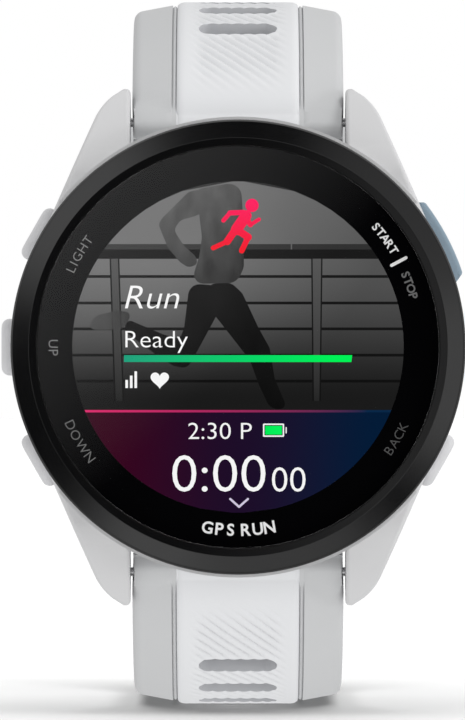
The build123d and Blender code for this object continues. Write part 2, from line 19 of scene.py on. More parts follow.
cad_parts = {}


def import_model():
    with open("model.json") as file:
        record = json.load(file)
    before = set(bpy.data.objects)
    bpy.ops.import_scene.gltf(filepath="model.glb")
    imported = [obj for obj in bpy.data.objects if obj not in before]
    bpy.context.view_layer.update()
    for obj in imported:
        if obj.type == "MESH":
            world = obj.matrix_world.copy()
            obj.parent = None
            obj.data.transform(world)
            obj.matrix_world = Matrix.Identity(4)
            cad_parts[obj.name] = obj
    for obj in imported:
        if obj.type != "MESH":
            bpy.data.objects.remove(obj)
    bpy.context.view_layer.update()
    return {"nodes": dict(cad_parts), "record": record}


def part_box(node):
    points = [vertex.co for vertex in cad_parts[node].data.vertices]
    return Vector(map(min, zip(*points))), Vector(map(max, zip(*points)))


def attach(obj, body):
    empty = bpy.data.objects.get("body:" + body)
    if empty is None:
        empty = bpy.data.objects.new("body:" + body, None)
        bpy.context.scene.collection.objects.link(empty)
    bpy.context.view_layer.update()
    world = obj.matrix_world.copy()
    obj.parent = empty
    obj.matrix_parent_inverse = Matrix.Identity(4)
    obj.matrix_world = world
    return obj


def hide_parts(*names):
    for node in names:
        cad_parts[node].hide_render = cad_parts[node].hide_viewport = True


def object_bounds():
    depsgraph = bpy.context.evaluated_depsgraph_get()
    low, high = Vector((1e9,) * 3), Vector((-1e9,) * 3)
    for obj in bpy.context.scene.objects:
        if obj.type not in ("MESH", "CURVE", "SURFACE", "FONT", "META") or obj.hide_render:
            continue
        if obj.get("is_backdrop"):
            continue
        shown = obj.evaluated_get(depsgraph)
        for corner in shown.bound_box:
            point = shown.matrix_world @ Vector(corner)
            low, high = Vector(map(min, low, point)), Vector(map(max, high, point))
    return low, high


LOG = logging.getLogger("watch")
MM = 0.001

Colour = tuple[float, float, float, float]
Place = tuple[float, float]
Rule = Callable[[float, float], float]


def srgb(red: float, green: float, blue: float) -> Colour:
    """Turns display values from 0 to 255 into a linear colour."""

    def linear(value: float) -> float:
        """Turns one display value into linear light."""
        share = value / 255
        return share / 12.92 if share <= 0.04045 else ((share + 0.055) / 1.055) ** 2.4

    return (linear(red), linear(green), linear(blue), 1.0)


def grey(level: float) -> Colour:
    """A neutral colour from one display value."""
    return srgb(level, level, level)


# ---- node trees, built by expressions --------------------------------------------------


class Term:
    """A node's output that Python's arithmetic works on."""

    def __init__(self, graph: "Graph", socket: bpy.types.NodeSocket) -> None:
        """Wraps one output of a graph."""
        self.graph = graph
        self.socket = socket

    @property
    def is_vector(self) -> bool:
        """True if the output carries three numbers."""
        return self.socket.type in {"VECTOR", "RGBA"}

    def _join(self, operation: str, other: Any, swapped: bool = False) -> "Term":
        """Adds the node for one operator.

        Args:
            operation: the Math or Vector Math operation.
            other: the other operand, a number, a tuple or a Term.
            swapped: True if the other operand comes first.

        Returns:
            The result.
        """
        pair = [other, self] if swapped else [self, other]
        wide = [isinstance(p, tuple) or (isinstance(p, Term) and p.is_vector) for p in pair]
        kind = "ShaderNodeVectorMath" if any(wide) else "ShaderNodeMath"
        values = dict(enumerate(pair))
        if operation == "MULTIPLY" and wide[0] != wide[1]:
            operation = "SCALE"
            vector, scale = pair if wide[0] else pair[::-1]
            values = {0: vector, "Scale": scale}
        return self.graph.term(kind, {"operation": operation}, values)

    def _alone(self, operation: str) -> "Term":
        """Adds a Math node that works on this number alone."""
        return self.graph.term("ShaderNodeMath", {"operation": operation}, {0: self})

    def __add__(self, other: Any) -> "Term":
        """Sum."""
        return self._join("ADD", other)

    def __sub__(self, other: Any) -> "Term":
        """Difference."""
        return self._join("SUBTRACT", other)

    def __rsub__(self, other: Any) -> "Term":
        """Difference from a number."""
        return self._join("SUBTRACT", other, swapped=True)

    def __mul__(self, other: Any) -> "Term":
        """Product."""
        return self._join("MULTIPLY", other)

    def __truediv__(self, other: Any) -> "Term":
        """Quotient."""
        return self._join("DIVIDE", other)

    __radd__ = __add__
    __rmul__ = __mul__

    def least(self, other: Any) -> "Term":
        """The smaller of two numbers."""
        return self._join("MINIMUM", other)

    def most(self, other: Any) -> "Term":
        """The larger of two numbers."""
        return self._join("MAXIMUM", other)

    def above(self, limit: float) -> "Term":
        """1 above a limit and 0 below it."""
        return self._join("GREATER_THAN", limit)

    def angle_from(self, other: "Term") -> "Term":
        """Angle in radians whose tangent is this over the other."""
        return self._join("ARCTAN2", other)

    def power(self, exponent: float) -> "Term":
        """Raises to a power."""
        return self._join("POWER", exponent)

    def absolute(self) -> "Term":
        """Size without the sign."""
        return self._alone("ABSOLUTE")

    def fraction(self) -> "Term":
        """What is past the whole number below."""
        return self._alone("FRACT")

    def sine(self) -> "Term":
        """Sine of an angle in radians."""
        return self._alone("SINE")

    def smooth(self, low: float, high: float) -> "Term":
        """Smooth step from 0 at low to 1 at high; low may be the larger one."""
        values = {"Value": self, "From Min": low, "From Max": high}
        return self.graph.term("ShaderNodeMapRange", {"interpolation_type": "SMOOTHSTEP"}, values)


class Graph:
    """A node tree that is built with plain calls."""

    def __init__(self, tree: bpy.types.NodeTree) -> None:
        """Takes the tree that the nodes go in."""
        self.tree = tree

    def node(
        self,
        kind: str,
        settings: dict[str, Any] | None = None,
        values: dict[Any, Any] | None = None,
    ) -> bpy.types.Node:
        """Adds one node.

        Args:
            kind: the node's type.
            settings: its own properties, which are set first.
            values: numbers, tuples, sockets or Terms for its inputs, by name or number.

        Returns:
            The new node.
        """
        made = self.tree.nodes.new(kind)
        for name, value in (settings or {}).items():
            setattr(made, name, value)
        for key, value in (values or {}).items():
            self.feed(made.inputs[key], value)
        return made

    def term(
        self,
        kind: str,
        settings: dict[str, Any] | None = None,
        values: dict[Any, Any] | None = None,
        output: int | str = 0,
    ) -> Term:
        """Adds one node, as node() does, and returns one of its outputs."""
        return Term(self, self.node(kind, settings, values).outputs[output])

    def feed(self, socket: bpy.types.NodeSocket, value: Any) -> None:
        """Links an input to a Term or socket, or sets its plain value."""
        if isinstance(value, Term):
            value = value.socket
        if isinstance(value, bpy.types.NodeSocket):
            self.tree.links.new(value, socket)
        else:
            socket.default_value = value

    def parts(self, vector: Term) -> list[Term]:
        """The three numbers of a vector."""
        made = self.node("ShaderNodeSeparateXYZ", values={0: vector})
        return [Term(self, socket) for socket in made.outputs]

    def mix(self, share: Any, first: Any, second: Any) -> Term:
        """First colour where share is 0, second where it is 1."""
        return self.term("ShaderNodeMix", {"data_type": "RGBA"}, {0: share, 6: first, 7: second}, 2)


class Paint(Graph):
    """A material's node tree, in millimetres of the piece's own coordinates."""

    def __init__(self, name: str) -> None:
        """Starts an empty material."""
        self.material = bpy.data.materials.new(name)
        self.material.use_nodes = True
        super().__init__(self.material.node_tree)
        self.tree.nodes.clear()
        self.place = self.term("ShaderNodeTexCoord", output="Object") * (1 / MM)
        self.x, self.y, self.z = self.parts(self.place)

    def noise(self, size: float, detail: float = 2.0, stretch: Sequence[float] = (1, 1, 1)) -> Term:
        """Soft noise around 0.5.

        Args:
            size: width of its lumps in millimetres.
            detail: how many finer layers it has.
            stretch: a number per axis, under 1 where the lumps are longer.

        Returns:
            The noise.
        """
        scale = tuple(share / size for share in stretch)
        spot = self.term("ShaderNodeMapping", values={"Vector": self.place, "Scale": scale})
        values = {"Vector": spot, "Scale": 1.0, "Detail": detail}
        return self.term("ShaderNodeTexNoise", values=values)

    def cells(self, size: float, feature: str = "F1") -> Term:
        """Distance in a cell pattern of a given size in millimetres."""
        values = {"Vector": self.place, "Scale": 1 / size}
        return self.term("ShaderNodeTexVoronoi", {"feature": feature}, values, "Distance")

    def bump(self, height: Term, depth: float) -> Term:
        """Normal of a surface with this relief, its full depth in millimetres."""
        values = {"Strength": 1.0, "Distance": depth * MM, "Height": height}
        return self.term("ShaderNodeBump", values=values, output="Normal")

    def surface(self, values: dict[str, Any]) -> bpy.types.Material:
        """Ends the tree in a Principled surface.

        Args:
            values: the surface's inputs by name.

        Returns:
            The finished material.
        """
        return self.shown(self.term("ShaderNodeBsdfPrincipled", values=values))

    def shown(self, shader: Term) -> bpy.types.Material:
        """Links a shader to the material's output and returns the material."""
        self.node("ShaderNodeOutputMaterial", values={"Surface": shader})
        return self.material


# ---- finishes -------------------------------------------------------------------------


@dataclass(frozen=True)
class Moulded:
    """Moulded polymer or silicone with a fine eroded grain."""

    name: str
    colour: Colour
    roughness: float = 0.45
    grain: float = 0.14
    depth: float = 0.003
    mottle: float = 0.05
    specular: float = 0.5
    coat: float = 0.0

    def make(self) -> bpy.types.Material:
        """Makes the material."""
        paint = Paint(self.name)
        cloud = paint.noise(4.0, 3.0)
        speck = paint.noise(self.grain, 2.0)
        tone = 1 + (cloud - 0.5) * self.mottle + (speck - 0.5) * self.mottle * 0.8
        rough = self.roughness + (speck - 0.5) * 0.12 + (cloud - 0.5) * 0.08
        values = {
            "Base Color": tone * self.colour[:3],
            "Roughness": rough,
            "Specular IOR Level": self.specular,
            "Coat Weight": self.coat,
            "Coat Roughness": 0.12,
            "Normal": paint.bump(speck, self.depth),
        }
        return paint.surface(values)


@dataclass(frozen=True)
class Metal:
    """Metal with fine brush lines along one axis."""

    name: str
    colour: Colour
    roughness: float = 0.3
    lines: tuple[float, float, float] = (0.04, 1, 1)
    depth: float = 0.002

    def make(self) -> bpy.types.Material:
        """Makes the material."""
        paint = Paint(self.name)
        brushed = paint.noise(0.06, 2.0, self.lines)
        stain = paint.noise(1.5, 3.0)
        tone = 1 + (brushed - 0.5) * 0.25 + (stain - 0.5) * 0.12
        values = {
            "Base Color": tone * self.colour[:3],
            "Metallic": 1.0,
            "Roughness": self.roughness + (brushed - 0.5) * 0.2 + (stain - 0.5) * 0.1,
            "Normal": paint.bump(brushed, self.depth),
        }
        return paint.surface(values)


@dataclass(frozen=True)
class Board:
    """Solder mask over copper tracks, or a film with tracks in it."""

    name: str
    mask: Colour
    track: Colour
    pitch: float = 0.9
    roughness: float = 0.3

    def make(self) -> bpy.types.Material:
        """Makes the material."""
        paint = Paint(self.name)
        edge = paint.cells(self.pitch, "DISTANCE_TO_EDGE")
        track = edge.smooth(0.1, 0.05)
        pad = paint.cells(self.pitch * 1.7).smooth(0.2, 0.16)
        copper = track.most(pad)
        grain = paint.noise(0.2, 2.0)
        values = {
            "Base Color": paint.mix(copper, self.mask, self.track),
            "Roughness": self.roughness + (grain - 0.5) * 0.2,
            "Metallic": pad * 0.8,
            "Normal": paint.bump(copper + grain * 0.2, 0.01),
        }
        return paint.surface(values)


@dataclass(frozen=True)
class Woven:
    """Thin woven membrane."""

    name: str
    colour: Colour
    pitch: float = 0.12

    def make(self) -> bpy.types.Material:
        """Makes the material."""
        paint = Paint(self.name)
        turn = math.pi / self.pitch
        weave = (paint.x * turn).sine().absolute() * (paint.z * turn).sine().absolute()
        tone = 0.75 + weave * 0.35
        values = {
            "Base Color": tone * self.colour[:3],
            "Roughness": 0.8 - weave * 0.1,
            "Normal": paint.bump(weave, 0.01),
        }
        return paint.surface(values)


@dataclass(frozen=True)
class ClearGlass:
    """Polished cover glass: it lets everything through and mirrors by angle."""

    name: str
    index: float = 1.45

    def make(self) -> bpy.types.Material:
        """Makes the material."""
        paint = Paint(self.name)
        smear = paint.noise(5.0, 3.0)
        rough = 0.015 + smear * 0.01
        gloss = paint.term("ShaderNodeBsdfGlossy", values={"Roughness": rough})
        clear = paint.term("ShaderNodeBsdfTransparent")
        angle = paint.term("ShaderNodeFresnel", values={"IOR": self.index})
        back = paint.term("ShaderNodeNewGeometry", output="Backfacing")
        values = {0: angle * (1 - back), 1: clear, 2: gloss}
        return paint.shown(paint.term("ShaderNodeMixShader", values=values))


@dataclass(frozen=True)
class DarkGlass:
    """Nearly black glass with a faint cloud of dust under its polish."""

    name: str
    colour: Colour

    def make(self) -> bpy.types.Material:
        """Makes the material."""
        paint = Paint(self.name)
        dust = paint.noise(0.8, 4.0)
        values = {
            "Base Color": (0.7 + dust * 0.6) * self.colour[:3],
            "Roughness": 0.04 + dust * 0.05,
            "Coat Weight": 0.6,
            "Coat Roughness": 0.02,
            "Normal": paint.bump(dust, 0.001),
        }
        return paint.surface(values)


@dataclass(frozen=True)
class Glow:
    """Light from the display: a colour that fades to another from one place to another."""

    name: str
    first: Colour
    second: Colour
    start: Place = (-15.0, 0.0)
    stop: Place = (15.0, 0.0)
    folds: float = 0.0

    def make(self) -> bpy.types.Material:
        """Makes the material."""
        paint = Paint(self.name)
        crumple = 1 + (paint.noise(1.3, 4.0, (1.0, 1.0, 0.45)) - 0.5) * self.folds
        return lit_surface(paint, self.blend(paint) * crumple, 0.02)

    def blend(self, paint: Paint) -> Term:
        """The fade as a colour in a material's tree."""
        run = (self.stop[0] - self.start[0], self.stop[1] - self.start[1])
        square = run[0] ** 2 + run[1] ** 2
        share = (paint.x - self.start[0]) * (run[0] / square)
        share = share + (paint.z - self.start[1]) * (run[1] / square)
        return paint.mix(share.most(0.0).least(1.0), self.first, self.second)


def lit_surface(paint: Paint, colour: Term, flicker: float) -> bpy.types.Material:
    """Ends a tree in a black surface that gives off a colour.

    Args:
        paint: the material's tree.
        colour: what it gives off.
        flicker: how much its single dots differ.

    Returns:
        The finished material.
    """
    dots = 1 + (paint.noise(0.09, 0.0) - 0.5) * flicker
    values = {
        "Base Color": (0.0, 0.0, 0.0, 1.0),
        "Roughness": 0.5,
        "Specular IOR Level": 0.0,
        "Emission Color": colour * dots,
        "Emission Strength": 1.0,
    }
    return paint.surface(values)


@dataclass(frozen=True)
class Backdrop:
    """The display's greyscale sky, brightest at the upper left and dark at the horizon."""

    name: str = "display_sky"
    bright: Colour = grey(116)
    middle: Colour = grey(84)
    dark: Colour = grey(27)

    def make(self) -> bpy.types.Material:
        """Makes the material."""
        paint = Paint(self.name)
        top = Glow("", self.bright, self.middle, (-3.0, 11.0), (10.0, 3.0)).blend(paint)
        low = paint.z.smooth(8.5, -5.0)
        haze = 1 + (paint.noise(6.0, 3.0) - 0.5) * 0.12
        return lit_surface(paint, paint.mix(low, top, self.dark) * haze, 0.03)


@dataclass(frozen=True)
class Dusk:
    """The data field's colours: magenta on the left, violet in the middle, navy on the right."""

    name: str = "display_dusk"
    left: Colour = srgb(56, 5, 30)
    middle: Colour = srgb(30, 14, 41)
    right: Colour = srgb(4, 28, 56)

    def make(self) -> bpy.types.Material:
        """Makes the material."""
        paint = Paint(self.name)
        inner = paint.mix(paint.x.smooth(-13.5, 0.5), self.left, self.middle)
        whole = paint.mix(paint.x.smooth(-1.0, 13.5), inner, self.right)
        return lit_surface(paint, whole, 0.03)


CASE = Moulded("case_polymer", srgb(210, 210, 211), 0.42, 0.16, 0.003, 0.03)
COVER = Moulded("cover_polymer", srgb(66, 66, 68), 0.5, 0.16, 0.006)
BEZEL = Moulded("bezel_black", srgb(9, 9, 10), 0.18, 0.11, 0.0012, 0.2, 0.5)
BUTTON = Moulded("button_grey", srgb(214, 214, 216), 0.34, 0.12, 0.002, 0.03)
START = Moulded("button_blue", srgb(136, 155, 169), 0.36, 0.12, 0.002, 0.05)
STRAP = Moulded("strap_grey", srgb(202, 203, 204), 0.55, 0.2, 0.004, 0.03, 0.35)
INLAY = Moulded("strap_white", srgb(229, 230, 232), 0.55, 0.2, 0.003, 0.02, 0.35)
SLOT = Moulded("strap_slot_grey", srgb(200, 201, 204), 0.6, 0.2, 0.004, 0.03, 0.3)
SEAL = Moulded("seal_rubber", grey(38), 0.7, 0.1, 0.006, 0.1, 0.3)
FRAME = Moulded("frame_plastic", srgb(48, 48, 49), 0.5, 0.18, 0.006, 0.1)
MASK = Moulded("mask_ink", srgb(4, 4, 5), 0.6, 0.3, 0.0, 0.2, 0.0)
LAMP = Moulded("lamp_lens", srgb(140, 210, 150), 0.15, 0.3, 0.001, 0.1, 0.5, 0.5)
DISPLAY = DarkGlass("display", srgb(6, 6, 7))
LENS = ClearGlass("lens_glass")
WINDOW = DarkGlass("window_glass", srgb(22, 22, 26))
STEEL = Metal("steel", srgb(196, 196, 198), 0.28)
BUCKLE = Metal("buckle_steel", srgb(178, 178, 180), 0.34, (1, 1, 0.04))
BRASS = Metal("brass_disc", srgb(216, 186, 120), 0.3, (1, 1, 1))
GOLD = Metal("gold_contact", srgb(236, 204, 136), 0.18, (1, 1, 1), 0.001)
FOIL = Metal("battery_foil", srgb(196, 196, 198), 0.4, (1, 1, 0.3), 0.01)
FLEX = Board("flex_film", srgb(178, 122, 38), srgb(206, 150, 70), 0.5, 0.25)
CIRCUIT = Board("circuit_board", srgb(10, 78, 50), srgb(40, 120, 78), 0.8, 0.3)
VENT = Woven("vent_membrane", grey(208))

CAD_FINISHES = (
    CASE, COVER, BEZEL, BUTTON, START, STRAP, INLAY, SEAL, FRAME, LAMP, DISPLAY, LENS,
    WINDOW, STEEL, BUCKLE, BRASS, GOLD, FOIL, FLEX, CIRCUIT, VENT,
)  # fmt: skip


class Finishes:
    """Makes each finish once and hands it out."""

    def __init__(self) -> None:
        """Starts with none made."""
        self._made: dict[str, bpy.types.Material] = {}

    def get(self, finish: Any) -> bpy.types.Material:
        """The material of a finish."""
        if finish.name not in self._made:
            self._made[finish.name] = finish.make()
        return self._made[finish.name]


FINISHES = Finishes()


# ---- meshes ---------------------------------------------------------------------------


def put(name: str, data: bpy.types.ID) -> bpy.types.Object:
    """Puts a mesh, curve, text, light or camera in the scene."""
    made = bpy.data.objects.new(name, data)
    bpy.context.scene.collection.objects.link(made)
    return made


def shaded(mesh: bpy.types.Mesh, crease: float) -> None:
    """Smooth shading, apart from edges sharper than a crease in degrees."""
    mesh.shade_smooth()
    mesh.set_sharp_from_angle(angle=math.radians(crease))


def link(name: str, mesh: bpy.types.Mesh, finish: Any, crease: float = 30.0) -> bpy.types.Object:
    """Puts a mesh in the scene, smooth apart from its sharp edges.

    Args:
        name: the object's name.
        mesh: its mesh, in metres.
        finish: its finish.
        crease: the angle in degrees past which an edge stays sharp.

    Returns:
        The new object.
    """
    mesh.name = name
    mesh.materials.append(FINISHES.get(finish))
    shaded(mesh, crease)
    return put(name, mesh)


def mesh_of(
    name: str, points: Iterable[Sequence[float]], faces: Iterable[Sequence[int]]
) -> bpy.types.Mesh:
    """A mesh from points in millimetres as they lie, (x, y, z), and its faces."""
    mesh = bpy.data.meshes.new(name)
    mesh.from_pydata([tuple(v * MM for v in p) for p in points], [], list(faces))
    return mesh


def solid(
    name: str, points: Iterable[Sequence[float]], faces: Iterable[Sequence[int]], finish: Any
) -> bpy.types.Object:
    """A closed object from points in millimetres, its faces turned outwards."""
    made = link(name, mesh_of(name, points, faces), finish)
    tidy_shell(made.data)
    return made


def ring_faces(rings: int, count: int, loop: bool = False) -> list[tuple[int, ...]]:
    """Faces between rings of numbered points, and from the last to the first in a loop."""
    faces = []
    for j in range(rings if loop else rings - 1):
        here, there = j * count, (j + 1) % rings * count
        for i in range(count):
            k = (i + 1) % count
            faces.append((here + i, here + k, there + k, there + i))
    return faces


def capped(
    name: str, rings: Sequence[Sequence[Sequence[float]]], finish: Any
) -> bpy.types.Object:
    """A closed solid through rings of points, with a flat face at each end."""
    count = len(rings[0])
    points = [p for ring in rings for p in ring]
    ends = [tuple(range(count)), tuple(reversed(range(len(points) - count, len(points))))]
    return solid(name, points, ends + ring_faces(len(rings), count), finish)


def settled(made: bpy.types.Object) -> bpy.types.Object:
    """Applies an object's modifiers, so that a plain mesh is left."""
    bpy.context.view_layer.update()
    graph = bpy.context.evaluated_depsgraph_get()
    mesh = bpy.data.meshes.new_from_object(made.evaluated_get(graph), depsgraph=graph)
    made.modifiers.clear()
    made.data = mesh
    return made


def carried(
    made: bpy.types.Object, body: str, nodes: Sequence[str] = ()
) -> bpy.types.Object:
    """Lets a finished piece ride on a body and reports it.

    Args:
        made: the piece.
        body: the body that it moves with.
        nodes: the CAD nodes that it stands for.

    Returns:
        The piece.
    """
    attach(made, body)
    if nodes:
        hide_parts(*nodes)
    LOG.info("%s: %d faces on %s", made.name, len(made.data.polygons), body)
    return made


def filleted(points: Sequence[Place], radii: Sequence[float], steps: int = 4) -> list[Place]:
    """Rounds the corners of a closed outline.

    Args:
        points: its corners in order.
        radii: one radius for each corner, or 0.
        steps: how many pieces an arc has.

    Returns:
        The rounded outline.
    """
    made: list[Place] = []
    count = len(points)
    for i, radius in enumerate(radii):
        corner = Vector(points[i])
        back = (Vector(points[i - 1]) - corner).normalized()
        ahead = (Vector(points[(i + 1) % count]) - corner).normalized()
        half = back.angle(ahead) / 2
        if radius == 0 or half > math.radians(89):
            made.append(tuple(corner))
            continue
        reach = radius / math.tan(half)
        middle = corner + (back + ahead).normalized() * radius / math.sin(half)
        first = corner + back * reach - middle
        last = corner + ahead * reach - middle
        sweep = first.angle_signed(last)
        for k in range(steps + 1):
            turned = Matrix.Rotation(-sweep * k / steps, 2) @ first
            made.append(tuple(middle + turned))
    return made


def lathe(name: str, outline: Sequence[Place], finish: Any, turns: int) -> bpy.types.Object:
    """Turns a closed (radius, height) outline round the dial axis.

    Args:
        name: the object's name.
        outline: the section; a radius of 0 closes a pole.
        finish: the object's finish.
        turns: how many steps there are in the circle.

    Returns:
        The new object.
    """
    points: list[tuple[float, float, float]] = []
    for i in range(turns):
        angle = math.tau * i / turns
        points += [(r * math.cos(angle), -h, r * math.sin(angle)) for r, h in outline]
    return weighted(solid(name, points, ring_faces(turns, len(outline), loop=True), finish))


def weighted(made: bpy.types.Object) -> bpy.types.Object:
    """Lets large faces decide the shading, so that flats next to fillets stay flat."""
    weigh = made.modifiers.new("weigh", "WEIGHTED_NORMAL")
    weigh.keep_sharp = True
    weigh.weight = 100
    return settled(made)


def tidy_shell(mesh: bpy.types.Mesh) -> None:
    """Merges doubles, drops faces without area and points the rest outwards."""
    work = bmesh.new()
    work.from_mesh(mesh)
    bmesh.ops.remove_doubles(work, verts=work.verts, dist=2e-7)
    bmesh.ops.dissolve_degenerate(work, edges=work.edges, dist=1e-8)
    bmesh.ops.recalc_face_normals(work, faces=work.faces)
    work.to_mesh(mesh)
    work.free()


def smooth_copy(node: str, piece: str, finish: Any, crease: float = 30.0) -> bpy.types.Object:
    """A merged, smoothly shaded copy of a CAD node's mesh.

    Args:
        node: the CAD node.
        piece: the copy's name.
        finish: its finish.
        crease: the angle in degrees past which an edge stays sharp.

    Returns:
        The new object.
    """
    source = bpy.data.objects[node].data
    work = bmesh.new()
    work.from_mesh(source)
    bmesh.ops.remove_doubles(work, verts=work.verts, dist=1e-6)
    bmesh.ops.dissolve_degenerate(work, edges=work.edges, dist=1e-7)
    mesh = bpy.data.meshes.new(piece)
    work.to_mesh(mesh)
    work.free()
    mesh.polygons.foreach_set("material_index", [0] * len(mesh.polygons))
    return weighted(link(piece, mesh, finish, crease))


class Flat:
    """A flat patch of faces, merged by place as it grows."""

    FINE = 1e4

    def __init__(self) -> None:
        """Starts empty."""
        self.places: list[Place] = []
        self.faces: list[tuple[int, ...]] = []
        self._index: dict[tuple[int, int], int] = {}

    def vertex(self, place: Sequence[float]) -> int:
        """Number of the vertex at a place, new if there is none."""
        key = (round(place[0] * self.FINE), round(place[1] * self.FINE))
        if key not in self._index:
            self._index[key] = len(self.places)
            self.places.append((place[0], place[1]))
        return self._index[key]

    def add(
        self, places: Sequence[Sequence[float]], faces: Iterable[Sequence[int]], shift: float = 0.0
    ) -> None:
        """Adds faces, moved along the second axis by a shift."""
        numbers = [self.vertex((x, s + shift)) for x, s in places]
        self.faces += [tuple(numbers[i] for i in face) for face in faces]

    def grid(
        self,
        columns: Sequence[float],
        rows: Sequence[float],
        skip: Callable[[float, float], bool] = lambda x, s: False,
    ) -> None:
        """Adds a grid of four-sided faces.

        Args:
            columns: places across.
            rows: places along.
            skip: True for the middle of a face that is left out.
        """
        for a, b in zip(columns, columns[1:]):
            for c, d in zip(rows, rows[1:]):
                if not skip((a + b) / 2, (c + d) / 2):
                    corners = [(a, c), (b, c), (b, d), (a, d)]
                    self.faces.append(tuple(self.vertex(p) for p in corners))

    def fill(
        self,
        outer: Sequence[Place],
        holes: Sequence[Sequence[Place]] = (),
        inner: Sequence[Place] = (),
    ) -> None:
        """Adds triangles inside an outline.

        Args:
            outer: the outline.
            holes: outlines that stay open.
            inner: more vertices inside.
        """
        places: list[Vector] = []
        edges: list[tuple[int, int]] = []
        for loop in (outer, *holes):
            first = len(places)
            places += [Vector(p) for p in loop]
            edges += [(first + i, first + (i + 1) % len(loop)) for i in range(len(loop))]
        places += [Vector(p) for p in inner]
        found, _, triangles, *_ = delaunay_2d_cdt(places, edges, [], 0, 1e-7)
        kept = []
        for face in triangles:
            middle = sum((found[i] for i in face), Vector((0.0, 0.0))) / len(face)
            if inside(middle, outer) and not any(inside(middle, hole) for hole in holes):
                kept.append(face)
        self.add(found, kept)

    def rim(self) -> list[tuple[int, int]]:
        """The edges that only one face has, in that face's direction."""
        edges = {(face[i - 1], face[i]) for face in self.faces for i in range(len(face))}
        return [edge for edge in edges if (edge[1], edge[0]) not in edges]


def inside(place: Sequence[float], loop: Sequence[Place]) -> bool:
    """True if a place lies inside a closed outline."""
    x, y = place[0], place[1]
    odd = False
    for (ax, ay), (bx, by) in zip(loop, [*loop[1:], loop[0]]):
        if (ay > y) != (by > y) and x < (bx - ax) * (y - ay) / (by - ay) + ax:
            odd = not odd
    return odd


def plate(
    name: str, loops: Sequence[Sequence[Place]], low: float, high: float, finish: Any
) -> bpy.types.Object:
    """A flat plate across the dial axis.

    Args:
        name: the object's name.
        loops: its outline in (x, z), then any holes in it.
        low: height of its back.
        high: height of its front.
        finish: its finish.

    Returns:
        The new object.
    """
    flat = Flat()
    flat.fill(loops[0], loops[1:])
    count = len(flat.places)
    points = [(x, -h, z) for h in (high, low) for x, z in flat.places]
    faces = list(flat.faces)
    faces += [tuple(i + count for i in reversed(face)) for face in flat.faces]
    faces += [(a + count, b + count, b, a) for a, b in flat.rim()]
    return solid(name, points, faces, finish)


def round_outline(radius: float, steps: int = 96, x: float = 0.0, z: float = 0.0) -> list[Place]:
    """A circle as an outline."""
    turns = [math.tau * i / steps for i in range(steps)]
    return [(x + radius * math.cos(t), z + radius * math.sin(t)) for t in turns]


def joined(name: str, pieces: Sequence[bpy.types.Object]) -> bpy.types.Object:
    """Joins pieces with the same finish into one object.

    Args:
        name: its name.
        pieces: the pieces, which are used up.

    Returns:
        The joined object.
    """
    work = bmesh.new()
    for piece in pieces:
        work.from_mesh(piece.data)
    mesh = bpy.data.meshes.new(name)
    work.to_mesh(mesh)
    work.free()
    material = pieces[0].data.materials[0]
    for piece in pieces:
        bpy.data.objects.remove(piece)
    mesh.materials.append(material)
    return put(name, mesh)


# ---- case -----------------------------------------------------------------------------


